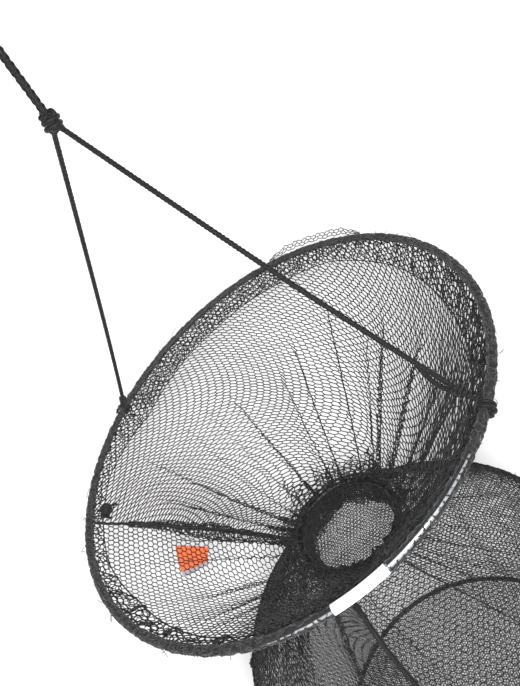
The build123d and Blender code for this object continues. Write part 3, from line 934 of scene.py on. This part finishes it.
class OBJECT_OT_crab_chamber(bpy.types.Operator):
    """Makes the nets of the catch chamber: sloping top, side wall and bottom, with their seams and hem"""

    bl_idname = "crabtrap.chamber"
    bl_label = "Chamber"

    def execute(self, context):
        net = context.scene.crab_net
        black = finish_of("net_black")
        surface = shoulder_surface(np.random.default_rng(12))
        cut = fan(HOOP_R, NECK_R, SHOULDER_LENGTH, shoulder_extra, net.top_mesh)
        top = new_mesh("shoulder_netting", *laid(surface, *cut, net.thread * 0.85, 3 * net.mesh), black)
        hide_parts("shoulder_net")
        rng = np.random.default_rng(18)
        layers, _ = hem_layers(surface, rng, net, ((0, 0.012), (1, 0.012)), 1)
        hem = new_mesh("shoulder_hem_netting", *joined(layers), black)
        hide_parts("shoulder_hem")
        up = np.linspace(0.0, 0.97, 120)
        seam = new_mesh(
            "shoulder_seam_roll",
            *joined(roll(surface, 0.0006 * np.sin(up * 17), up, 0.0019, 0.0022, rng)),
            finish_of("thread_black"),
        )
        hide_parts("shoulder_seam")
        for piece, slot in ((top, "net_black"), (hem, "net_black"), (seam, "thread_black")):
            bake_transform(piece)
        fan_area(HOOP_R, NECK_R, SHOULDER_LENGTH, shoulder_extra)
        self.side_wall(net, black)
        self.bottom(net, black)
        return {"FINISHED"}

    def side_wall(self, net, black):
        height = SHOULDER_Z - BASE_Z
        rng = np.random.default_rng(31)
        phases = rng.uniform(0, TAU, 8)

        def surface(across, down, lift=0.0):
            angles = SHOULDER_SEAM_AT + across * TAU
            waist = 0.0045 * np.sin(np.pi * down)
            for wave, phase in zip(range(5, 29, 3), phases):
                waist = waist + 0.0007 * np.sin(wave * angles + phase + 2 * down) * np.sin(np.pi * down)
            return ring_points(angles, HOOP_R - 0.001 - waist - lift, SHOULDER_Z - height * down)

        start, end = (math.radians(x) - SHOULDER_SEAM_AT for x in SHADE_NET_HEADINGS)
        top, low = SHADE_NET_DEPTHS

        def patch(across, down):
            return surface((start + (end - start) * across) / TAU, top + (low - top) * down, SHADE_NET_LIFT)

        # the closer net inside the wall is painted shade: a dark sheet that darkens the chamber seen through the
        # throat
        cut = strip((end - start) * HOOP_R, (low - top) * height, net.bottom_mesh, 0.5)
        closer = laid(patch, *cut, net.bottom_thread * SHADE_NET_THREAD, 3 * net.bottom_mesh)
        doubled = new_mesh("chamber_painted_shade_net", *closer, black)
        wall_cloth = net_of(surface, NET_WIDTH, height, net.wall_mesh, net.thread)
        wall_net = new_mesh("chamber_netting", *wall_cloth, black)
        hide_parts("chamber_net")
        depth = np.linspace(0.0, 1.0, 130)
        line = surface((0.001 * np.sin(depth * 23)) % 1, depth, 0.002)
        seam = new_mesh(
            "chamber_seam_roll", *tube(line, 0.0012 + 0.0004 * np.sin(depth * 120), 8), finish_of("thread_black")
        )
        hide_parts("chamber_seam")
        for piece, slot in ((wall_net, "net_black"), (doubled, "net_black"), (seam, "thread_black")):
            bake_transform(piece)

    def bottom(self, net, black):
        """Two flat rounds of closer net, one on the other, sagging a little. The upper one is painted shade: a
        dark sheet that darkens the chamber seen through the throat.
        """
        for name, turn, rise in (("bottom_netting", 0.0, 0.0), ("bottom_painted_shade_net", 0.35, 0.0016)):
            count = math.ceil(NET_R / net.bottom_mesh)
            knots, pairs = grid(count + 2, round(count * 1.2) + 2, net.bottom_mesh)
            cosine, sine = math.cos(turn), math.sin(turn)
            knots = np.column_stack([knots @ [cosine, -sine], knots @ [sine, cosine]])
            out = np.linalg.norm(knots, axis=1)
            pairs = pairs[(out[pairs] < NET_R + net.bottom_mesh * 0.4).all(1)]
            squeeze = np.minimum(1, NET_R * 1.008 / np.maximum(out, 1e-9))[:, None]
            sag = -0.006 * (1 - np.clip(out / NET_R, 0, 1) ** 2)
            points = np.column_stack([knots * squeeze, BASE_Z + rise + sag])
            normals = np.tile([0.0, 0.0, 1.0], (len(points), 1))
            piece = new_mesh(name, *threads(points, normals, pairs, net.bottom_thread), black)
            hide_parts("base_net")
            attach(piece, "base")


SLACK_ARC = (82, 212)  # degrees round the throat
SLACK_REACH = 0.02  # how far the net sags into the opening, at most


class OBJECT_OT_crab_throat(bpy.types.Operator):
    """Makes the throat: gathered hem, lacing, free-hanging collar and the chamber's drawcord"""

    bl_idname = "crabtrap.throat"
    bl_label = "Throat"

    def execute(self, context):
        net = context.scene.crab_net
        black = finish_of("net_black")
        hem = self.hem(black)
        lacing = self.lacing()
        collar = self.collar(net, black)
        finish_node("throat_ring", "coated_wire")
        for piece, slot in ((hem, "net_black"), (lacing, "thread_black"), (collar, "net_black")):
            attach(piece, "throat")
        angles = np.linspace(0, TAU, 240, endpoint=False)
        strands = []
        for k in range(3):
            spin = angles * 34 + k * TAU / 3
            strands.append(
                tube(
                    ring_points(angles, NECK_R + 0.00055 * np.cos(spin), THROAT_Z + 0.00055 * np.sin(spin)),
                    0.0007,
                    6,
                    closed=True,
                )
            )
        drawcord = new_mesh("neck_drawcord", *joined(strands), finish_of("thread_black"))
        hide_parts("neck_cord")
        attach(drawcord, "neck")
        return {"FINISHED"}

    def hem(self, black):
        """A gathered roll: a fat bar with many small cross puckers."""
        along, around = 900, 16
        angles = np.linspace(0, TAU, along, endpoint=False)
        turn = np.linspace(0, TAU, around, endpoint=False)
        a, t = np.meshgrid(angles, turn, indexing="ij")
        rng = np.random.default_rng(41)
        pucker = noise_rows(rng, along, 160, 1.0)[:, None]
        drift = noise_rows(rng, along, 40, 1.0)[:, None]
        puckered = 0.13 * pucker * np.cos(t - 0.6 * drift)
        radius = THROAT_HEM_R * (0.9 + puckered + 0.10 * np.sin(3 * t + 5 * drift))
        r = THROAT_R + radius * np.cos(t)
        points = np.stack([r * np.cos(a), r * np.sin(a), THROAT_Z + radius * np.sin(t)], axis=2).reshape(-1, 3)
        i, k = np.meshgrid(np.arange(along), np.arange(around), indexing="ij")
        j, m = (i + 1) % along, (k + 1) % around
        faces = np.stack([i * around + k, j * around + k, j * around + m, i * around + m], axis=2).reshape(-1, 4)
        piece = new_mesh("throat_gathered_hem", points, faces, black)
        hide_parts("throat_hem")
        return piece

    def lacing(self):
        along = np.linspace(0, 1, 1500, endpoint=False)
        spin = along * TAU * 19 + 0.5 * np.sin(along * TAU * 5)
        reach = THROAT_HEM_R + 0.0005
        points = np.stack(
            [
                (THROAT_R + reach * np.cos(spin)) * np.cos(along * TAU),
                (THROAT_R + reach * np.cos(spin)) * np.sin(along * TAU),
                THROAT_Z + reach * np.sin(spin),
            ],
            axis=1,
        )
        lace = tube(points, 0.00065, 6, closed=True)
        piece = new_mesh("throat_lacing_cord", *lace, finish_of("thread_black"))
        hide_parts("throat_lacing")
        return piece

    def collar(self, net, black):
        """Several layers of net hanging free, scalloped along the edge."""
        top, low = THROAT_Z - THROAT_HEM_R * 0.5, COLLAR_LOW
        layers = []
        for layer in range(4):
            rng = np.random.default_rng(50 + layer)
            gathers = Gathers(rng, 22, 0.0, 0.01)
            sway = rng.uniform(0, TAU, 4)

            def surface(across, down, layer=layer, gathers=gathers, sway=sway):
                half = np.full_like(down, 0.5)
                share, sideways, off = gathers.place(across, half, half, TAU * THROAT_R)
                angles = share * TAU + layer * 0.7
                scallop = 0.72 + 0.28 * np.abs(np.sin(angles * 2.5 + 0.4))
                reach = 0.004 + 0.003 * np.sin(angles * 5 + sway[0])
                radius = THROAT_R - 0.0006 - 0.0007 * layer - reach * down**1.3
                z = top + (low - top) * down * scallop
                points = np.stack([radius * np.cos(angles), radius * np.sin(angles), z], axis=1)
                return off_wall(points, angles, sideways * 0.6, off * 0.5, 0.2)

            wide = TAU * THROAT_R * 1.5
            layers.append(net_of(surface, wide, 0.017, net.bottom_mesh * 0.85, net.bottom_thread))
        layers += self.slack_edge(net)
        piece = new_mesh("throat_collar_netting", *joined(layers), black)
        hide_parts("throat_collar")
        return piece

    def slack_edge(self, net):
        """Where the gathered net sags into the opening, along SLACK_ARC."""
        start, end = (math.radians(x) for x in SLACK_ARC)
        layers = []
        for layer in range(4):

            def surface(across, down, layer=layer):
                angles = start + (end - start) * across
                wave = 0.72 + 0.28 * np.sin(across * 13 + 2.2)
                reach = SLACK_REACH * np.sin(np.pi * np.clip(across, 0, 1)) ** 0.7 * wave
                radius = THROAT_R - THROAT_HEM_R * 0.3 - down * reach
                ripple = 0.0009 * np.sin(across * 90 + 2 * layer) + 0.0006 * layer
                return ring_points(angles, radius, THROAT_Z - 0.001 - down * 0.004 + ripple)

            cut = strip((end - start) * THROAT_R, SLACK_REACH, net.bottom_mesh * 0.7, 0.4 + layer)
            layers.append(laid(surface, *cut, net.bottom_thread * 0.9, 3 * net.bottom_mesh))
        return layers


# ---- cords -------------------------------------------------------------------------------------
def smooth_route(points):
    """Points along the smooth line whose control points are a cord's given route."""
    data = bpy.data.curves.new("route", "CURVE")
    data.dimensions = "3D"
    data.resolution_u = 24
    spline = data.splines.new("NURBS")
    spline.points.add(len(points) - 1)
    for control, place in zip(spline.points, points):
        control.co = (*place, 1.0)
    spline.order_u = 3
    spline.use_endpoint_u = True
    carrier = bpy.data.objects.new("route", data)
    mesh = bpy.data.meshes.new_from_object(carrier)
    line = np.array([v.co for v in mesh.vertices], float)
    bpy.data.objects.remove(carrier)
    bpy.data.curves.remove(data)
    bpy.data.meshes.remove(mesh)
    return line


def even(line, step):
    """The same line with points a step apart."""
    along = np.concatenate([[0], np.cumsum(np.linalg.norm(np.diff(line, axis=0), axis=1))])
    at = np.linspace(0, along[-1], max(3, round(along[-1] / step)))
    return np.stack([np.interp(at, along, line[:, k]) for k in range(3)], axis=1)


def frames_along(line):
    ahead = unit(np.gradient(line, axis=0))
    side = np.empty_like(line)
    first = np.array([0.0, 1.0, 0.0])
    if abs(ahead[0] @ first) > 0.9:
        first = np.array([1.0, 0.0, 0.0])
    side[0] = unit(first - ahead[0] * (first @ ahead[0]))
    for i in range(1, len(line)):
        moved = side[i - 1] - ahead[i] * (side[i - 1] @ ahead[i])
        side[i] = moved / max(np.linalg.norm(moved), 1e-12)
    return side, np.cross(ahead, side)


def braid(line, diameter, carriers=4, lay=3.2):
    """A braided cord on a line: strands that wind both ways and pass over and under each other, on a core."""
    line = even(line, diameter * 0.16)
    along = np.concatenate([[0], np.cumsum(np.linalg.norm(np.diff(line, axis=0), axis=1))])
    side, other = frames_along(line)
    turn = along / (diameter * lay) * TAU
    parts = [tube(line, diameter * 0.34, 8)]
    for way in (1, -1):
        for k in range(carriers):
            spin = way * turn + k * TAU / carriers
            weave = np.cos(2 * carriers / 2 * (turn + (0 if way > 0 else math.pi / carriers)) + k * math.pi)
            out = diameter * (0.375 + 0.035 * way * weave)
            points = line + out[:, None] * (np.cos(spin)[:, None] * side + np.sin(spin)[:, None] * other)
            parts.append(tube(points, diameter * 0.115, 5))
    return joined(parts), line


def cord_piece(name, points, diameter, finish, replaced):
    """A braided cord on its route, and the line that it follows."""
    (vertices, faces), line = braid(smooth_route(points), diameter)
    piece = new_mesh(name, vertices, faces, finish_of(finish))
    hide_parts(replaced)
    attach(piece, "hoist")
    return piece, line


def length_of(line):
    return float(np.linalg.norm(np.diff(line, axis=0), axis=1).sum())


def mixed(a, b, share):
    return np.asarray(a, float) + (np.asarray(b, float) - np.asarray(a, float)) * share


TIE_AT = {-1: math.pi, 1: math.radians(-1.8)}  # where each leg is hitched on the mouth hoop, left and right


def tie_of(side):
    return mouth_circle(np.array(TIE_AT[side]))


def leg_points(side):
    """From the main knot down to the hitch on the mouth hoop; taut, with the least sag."""
    tie = tie_of(side)
    up = unit(KNOT - tie)
    end = tie + up * (SLEEVE_R + 0.004)
    top = KNOT + np.array([side * 0.0024, 0, -0.00288])
    sag = unit(np.array([-side * (KNOT[2] - MOUTH_Z), 0, -HOOP_R]))
    aside = np.array([0, -0.0012 * (side > 0), 0])
    upper = mixed(top, end, 0.34) + sag * 0.0011 + aside
    lower = mixed(top, end, 0.74) + sag * 0.0014 + 1.6 * aside
    return [top, upper, lower, end]


def wound(centre, axis, radius, turns, pitch, start=0.0):
    """Round turns of cord about an axis."""
    axis = unit(np.asarray(axis, float))
    first = unit(np.cross(axis, [0.3, 0.5, 0.8]))
    second = np.cross(axis, first)
    spin = np.linspace(start, start + TAU * turns, int(26 * turns))
    shift = (spin - spin.mean()) / TAU * pitch
    line = (
        np.asarray(centre)
        + radius * np.cos(spin)[:, None] * first
        + radius * np.sin(spin)[:, None] * second
        + shift[:, None] * axis
    )
    return line


def overhand(centre, scale, stretch, tilt):
    """A tight overhand knot's line: a trefoil drawn long."""
    t = np.linspace(0, TAU, 90, endpoint=False)
    line = np.stack(
        [
            (np.sin(t) + 2 * np.sin(2 * t)) / 3,
            (np.cos(t) - 2 * np.cos(2 * t)) / 3,
            -np.sin(3 * t) / 2.2 * stretch,
        ],
        axis=1,
    )
    turn = np.array(Euler([math.radians(x) for x in tilt]).to_matrix())
    return np.asarray(centre) + scale * line @ turn.T


def knotted(name, lines, diameter, finish, body, *nodes):
    parts = []
    for line, closed in lines:
        parts.append(tube(line, diameter / 2, 10, closed=True) if closed else capped_tube(line, diameter / 2, 10))
    piece = new_mesh(name, *joined(parts), finish_of(finish))
    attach(piece, body)
    if nodes:
        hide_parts(*nodes)
    return piece


class OBJECT_OT_crab_bridle(bpy.types.Operator):
    """Makes the hoist rope with its eye, the two bridle legs and all their knots and hitches"""

    bl_idname = "crabtrap.bridle"
    bl_label = "Rope and Bridle"

    def execute(self, context):
        cord = context.scene.crab_cord
        rope_points = [
            (0, 0, EYE_KNOT[2] - cord.rope / 2),
            (0.0009, -0.0004, mixed(EYE_KNOT, KNOT, 0.48)[2]),
            (0, 0, KNOT[2] + cord.rope / 2),
        ]
        rope, line = cord_piece("hoist_rope_braid", rope_points, cord.rope, "rope_black", "hoist_rope")
        self.main_knot(cord)
        eye_knot = self.eye_knot(cord)
        tuple(line[-1])
        round(length_of(line), 3)
        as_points(line)
        self.eye(cord)
        for side, word in ((-1, "left"), (1, "right")):
            leg, line = cord_piece(
                "leg_braid_" + word, leg_points(side), cord.leg, "cord_black", "bridle_leg_" + word
            )
            tuple(line[0])
            round(length_of(line), 3)
            self.doubled_end(cord, line) if side > 0 else []
            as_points(line)
            self.leg_foot(cord, side, word)
        return {"FINISHED"}

    def main_knot(self, cord):
        lines = [
            (overhand(KNOT + [0, 0, 0.0026], 0.0039, 1.2, (10, 25, 0)), True),
            (overhand(KNOT + [0.0004, 0, -0.003], 0.0037, 1.1, (-15, 20, 60)), True),
            (wound(KNOT + [0, 0, -0.0002], (0.1, 0.2, 1), 0.0042, 2.2, 0.0032, 0.4), False),
        ]
        return knotted("main_knot_cord", lines, cord.leg * 0.95, "rope_black", "hoist", "main_knot")

    def eye_knot(self, cord):
        lines = [
            (overhand(EYE_KNOT + [0, 0, 0.0015], 0.0045, 1.2, (5, 20, 30)), True),
            (wound(EYE_KNOT - [0, 0, 0.002], (0.05, 0.1, 1), 0.0036, 2.3, 0.0042, 0.4), False),
        ]
        return knotted("eye_knot_cord", lines, cord.leg, "rope_black", "hoist", "rope_eye_knot")

    def eye(self, cord):
        half = (span("rope_eye", 0) - cord.rope) / 2
        long = -EYE_KNOT[2]
        low = EYE_KNOT[2] + cord.rope / 2
        one_side = [
            (cord.rope * 0.52, 0, low),
            (half * 0.56, 0, low + long * 0.24),
            (half * 0.94, 0, low + long * 0.51),
            (half, 0, low + long * 0.78),
            (half * 0.42, 0, cord.rope / 2),
        ]
        other_side = [(-x, y, z) for x, y, z in reversed(one_side)]
        piece, line = cord_piece("rope_eye_braid", one_side + other_side, cord.rope, "rope_black", "rope_eye")
        tuple(line[0])
        round(length_of(line), 3)
        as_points(line)

    def leg_foot(self, cord, side, word):
        """The leg's end: a knot on the leg, round turns on the hoop and the cut tail."""
        tie = tie_of(side)
        up = unit(KNOT - tie)
        long = 0.008 if side > 0 else 0.005
        pitch = cord.leg * 0.72
        radius = cord.leg * (0.5 if side > 0 else 0.62)
        served = wound(tie + up * (0.0098 + long / 2), up, radius, long / pitch, pitch)
        foot = [(served, False)]
        if side < 0:
            foot.append((overhand(tie + up * 0.0128, 0.0021, 1.1, (0, -40, 20)), True))
        knotted("leg_foot_knot_" + word, foot, cord.leg * 0.72, "cord_black", "hoist", "leg_knot_" + word)
        tangent = np.array([0, math.cos(MOUTH_TILT), math.sin(MOUTH_TILT)])
        turns = wound(tie, tangent, SLEEVE_R + cord.leg * 0.3, 2.6, cord.leg * 0.85, 0.3)
        out = SLEEVE_R + cord.leg * (0.1 if side > 0 else 0.7)
        knob = tie + np.array([side * out, -0.0005 - 0.002 * (side > 0), 0.0006 - 0.0012 * (side > 0)])
        reach = 0.1 if side > 0 else 1.1
        bends = [[0, 0, 0], [side * 0.003, -0.0016, -0.0008], [side * 0.0045, -0.003, -0.003]]
        tail = knob + reach * np.array(bends)
        lines = [(turns, False), (overhand(knob, 0.0017, 1.0, (30, 10, 0)), True), (tail, False)]
        knotted(
            "hoop_hitch_turns_" + word, lines, cord.leg * 0.74, "cord_black", "mouth", "hoop_hitch_" + word
        )

    def doubled_end(self, cord, line):
        """The right leg's end, brought back beside it to just short of the hoop and bound to it there."""
        high, low = line[round(len(line) * 0.865)], line[round(len(line) * 0.965)]
        beside = unit(np.array([-0.35, -0.5, -0.8]))
        share = np.linspace(0, 1, 40)[:, None]
        apart = 0.0006 + 0.003 * np.sin(np.pi * share) + 0.001 * share
        strand = high + (low - high) * share + beside * apart
        (vertices, faces), _ = braid(strand, cord.leg * 0.9)
        loose = new_mesh("leg_doubled_end", vertices, faces, finish_of("cord_black"))
        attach(loose, "hoist")
        caught = wound(low, high - low, cord.leg * 0.75, 2.6, cord.leg * 0.8)
        catch = knotted("leg_doubled_catch", [(caught, False)], cord.leg * 0.7, "cord_black", "hoist")
        return [loose, catch]


TAG_SHARES = (0.375, 0.53)  # of the way from the mouth hoop to the throat: its outer and inner edges
TAG_HEADINGS = (-133.8, -117.0, -124.5)  # degrees: its edge by the seam, then its two free corners


class OBJECT_OT_crab_trimmings(bpy.types.Operator):
    """Adds the cloth tag, the small thread ties and the raw net edge beyond the mouth hoop"""

    bl_idname = "crabtrap.trimmings"
    bl_label = "Tag and Ties"

    def execute(self, context):
        self.tag()
        self.seam_tie()
        self.shoulder_tie()
        self.raw_edge(context.scene.crab_net)
        return {"FINISHED"}

    def tag(self):
        """A small cloth tag, its free edge curled."""
        rows, columns = 30, 30
        s, t = np.meshgrid(np.linspace(0, 1, rows), np.linspace(0, 1, columns), indexing="ij")
        outer, inner = TAG_SHARES
        near, far_outer, far_inner = (math.radians(a) for a in TAG_HEADINGS)
        hang = -0.022 * t.ravel()
        angles = (near + (far_outer + (far_inner - far_outer) * s - near) * t).ravel()
        down = (outer + (inner - outer) * s).ravel() + hang
        wave = 0.0012 * np.sin(4 * s + 3 * t).ravel() * t.ravel()
        lift = -0.0014 + wave - 0.002 * (t.ravel() * s.ravel()) ** 2
        still = np.zeros_like(angles)
        points = off_wall(wall(angles, down, FUNNEL_TOP, FUNNEL_LOW), angles, still, lift, FUNNEL_SLOPE)
        i, k = np.meshgrid(np.arange(rows - 1), np.arange(columns - 1), indexing="ij")
        faces = np.stack(
            [i * columns + k, (i + 1) * columns + k, (i + 1) * columns + k + 1, i * columns + k + 1], axis=2
        ).reshape(-1, 4)
        piece = new_mesh("cloth_tag", points, faces, finish_of("tag_orange"))
        piece.data.materials.append(finish_of("tag_edge"))
        edge = (t[:-1, :-1].ravel() > 0.86) | (t[:-1, :-1].ravel() < 0.02)
        piece.data.polygons.foreach_set("material_index", edge.astype(np.int32))
        thick = piece.modifiers.new("cloth", "SOLIDIFY")
        thick.thickness = 0.0005
        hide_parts("tag")
        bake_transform(piece)

    def seam_tie(self):
        along = np.array([-math.sin(FUNNEL_SEAM_AT), math.cos(FUNNEL_SEAM_AT), 0])
        inward = np.array([-math.cos(FUNNEL_SEAM_AT), -math.sin(FUNNEL_SEAM_AT), -0.4])
        at = np.array(middle("funnel_seam_tie")) - inward * 0.003 + along * 0.001
        lines = [
            (overhand(at, 0.004, 1.3, (20, 10, 45)), True),
            (wound(at, along, 0.0026, 5, 0.0022), False),
            (np.array([at, at + along * 0.006 + inward * 0.001, at + along * 0.009 + inward * 0.004]), False),
            (np.array([at, at - along * 0.004 + inward * 0.002, at - along * 0.005 + inward * 0.007]), False),
        ]
        knotted("seam_tie_thread", lines, 0.0019, "thread_black", "mouth", "funnel_seam_tie")

    def shoulder_tie(self):
        circle = level_circle(SHOULDER_Z)
        spin = np.linspace(0, TAU * 5, 120)
        along = SHOULDER_TIE_AT + (spin / TAU - 2.5) * 0.0011 / HOOP_R
        turns = around_bar(circle, along, spin, SLEEVE_R + 0.0007)
        at = circle(np.array([SHOULDER_TIE_AT]), HOOP_R + SLEEVE_R)[0]
        knob = overhand(at, 0.002, 1.0, (40, 0, 20))
        tail = np.array([at, at + [-0.003, -0.002, -0.004], at + [-0.004, -0.001, -0.009]])
        knotted(
            "shoulder_tie_thread", [(turns, False), (knob, True), (tail, False)], 0.0013,
            "thread_black", "shoulder", "shoulder_tie",
        )

    def raw_edge(self, net):
        """A strip of net that stands up past the mouth hoop where the roll has slipped."""
        start, end = math.radians(78), math.radians(112)
        width = (end - start) * HOOP_R
        knots, pairs = strip(width, 0.012, net.mesh)
        angles = start + knots[:, 0] * (end - start)
        rise = ease(np.minimum(knots[:, 0], 1 - knots[:, 0]) * 4)
        reach = (0.0015 + 0.0065 * knots[:, 1]) * (0.35 + 0.65 * rise) + 0.0006 * np.sin(angles * 90)
        points = mouth_circle(angles, HOOP_R + reach * 0.75, SLEEVE_R * 0.8 + reach * 0.7)
        normals = unit(np.stack([-np.cos(angles), -np.sin(angles), np.ones_like(angles)], axis=1))
        edge = threads(points, normals, pairs, net.thread * 0.8)
        piece = new_mesh("mouth_raw_edge", *edge, finish_of("net_black"))
        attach(piece, "mouth")


# ---- stage -------------------------------------------------------------------------------------
class OBJECT_OT_crab_stage(bpy.types.Operator):
    """Sets up the pale floor, the soft studio light and the camera"""

    bl_idname = "crabtrap.stage"
    bl_label = "Stage"

    def execute(self, context):
        stage = context.scene.crab_stage
        self.floor(BASE_Z - stage.floor_drop, stage.bowl)
        self.lights(context, stage)
        context.scene.view_settings.view_transform = "Standard"
        data = bpy.data.cameras.new("view")
        data.lens, data.sensor_width, data.clip_start = stage.lens, 36.0, 0.01
        camera = bpy.data.objects.new("view", data)
        context.scene.collection.objects.link(camera)
        camera.location = stage.eye
        camera.rotation_euler = [math.radians(x) for x in stage.look]
        context.scene.camera = camera
        return {"FINISHED"}

    def floor(self, z, radius):
        """A wide pale bowl: a flat floor that turns up all round."""
        material, tree, bsdf = shader("pale_floor")
        grain = noise(tree, 6.0, 2.0)
        tree.links.new(
            ramp(tree, grain.outputs["Fac"], (0.3, (0.40, 0.40, 0.40)), (0.7, (0.42, 0.42, 0.42))),
            bsdf.inputs["Base Color"],
        )
        bsdf.inputs["Roughness"].default_value = 1.0
        bsdf.inputs["Specular IOR Level"].default_value = 0.0
        turns = np.linspace(math.radians(24), math.radians(118), 28)
        rows = [(0.0, 0.0), (radius * 0.2, 0.0)]
        rows += [(radius * math.sin(a), radius * (math.cos(turns[0]) - math.cos(a))) for a in turns]
        turn = np.linspace(0, TAU, 96, endpoint=False)
        points = np.array([[r * math.cos(t), r * math.sin(t), z + up] for r, up in rows for t in turn])
        i, k = np.meshgrid(np.arange(len(rows) - 1), np.arange(96), indexing="ij")
        m = (k + 1) % 96
        faces = np.stack([i * 96 + k, i * 96 + m, (i + 1) * 96 + m, (i + 1) * 96 + k], axis=2).reshape(-1, 4)
        new_mesh("pale_floor", points, faces, material)

    def lights(self, context, stage):
        world = bpy.data.worlds.new("studio")
        world.use_nodes = True
        world.node_tree.nodes["Background"].inputs["Color"].default_value = (1.0, 1.0, 1.0, 1.0)
        world.node_tree.nodes["Background"].inputs["Strength"].default_value = stage.sky
        context.scene.world = world
        data = bpy.data.lights.new("key", "POINT")
        data.energy, data.shadow_soft_size = stage.key, 0.03
        data.use_nodes = True
        tree = data.node_tree
        falloff = tree.nodes.new("ShaderNodeLightFalloff")
        falloff.inputs["Strength"].default_value = 1.0
        tree.links.new(falloff.outputs["Constant"], tree.nodes["Emission"].inputs["Strength"])
        lamp = bpy.data.objects.new("key", data)
        lamp.location = stage.eye
        context.scene.collection.objects.link(lamp)


class VIEW3D_PT_crab_trap(bpy.types.Panel):
    """Sizes, colours and the pieces of the crab trap"""

    bl_label = "Crab Trap"
    bl_idname = "VIEW3D_PT_crab_trap"
    bl_space_type = "VIEW_3D"
    bl_region_type = "UI"
    bl_category = "Crab Trap"

    def draw(self, context):
        for attribute, group in GROUPS.items():
            box = self.layout.box()
            for name in group.__annotations__:
                box.prop(getattr(context.scene, attribute), name)
        for operator in OPERATORS:
            self.layout.operator(operator.bl_idname)


OPERATORS = (
    OBJECT_OT_crab_stage,
    OBJECT_OT_crab_bridle,
    OBJECT_OT_crab_hoops,
    OBJECT_OT_crab_funnel,
    OBJECT_OT_crab_throat,
    OBJECT_OT_crab_chamber,
    OBJECT_OT_crab_trimmings,
)
CLASSES = (*GROUPS.values(), *OPERATORS, VIEW3D_PT_crab_trap)


def register():
    for cls in CLASSES:
        bpy.utils.register_class(cls)
    for attribute, group in GROUPS.items():
        setattr(bpy.types.Scene, attribute, PointerProperty(type=group))


def unregister():
    for attribute in GROUPS:
        delattr(bpy.types.Scene, attribute)
    for cls in reversed(CLASSES):
        bpy.utils.unregister_class(cls)


def main():
    register()
    bpy.ops.crabtrap.stage()
    bpy.ops.crabtrap.bridle()
    bpy.ops.crabtrap.hoops()
    bpy.ops.crabtrap.funnel()
    bpy.ops.crabtrap.throat()
    bpy.ops.crabtrap.chamber()
    bpy.ops.crabtrap.trimmings()


if __name__ == "__main__":
    main()
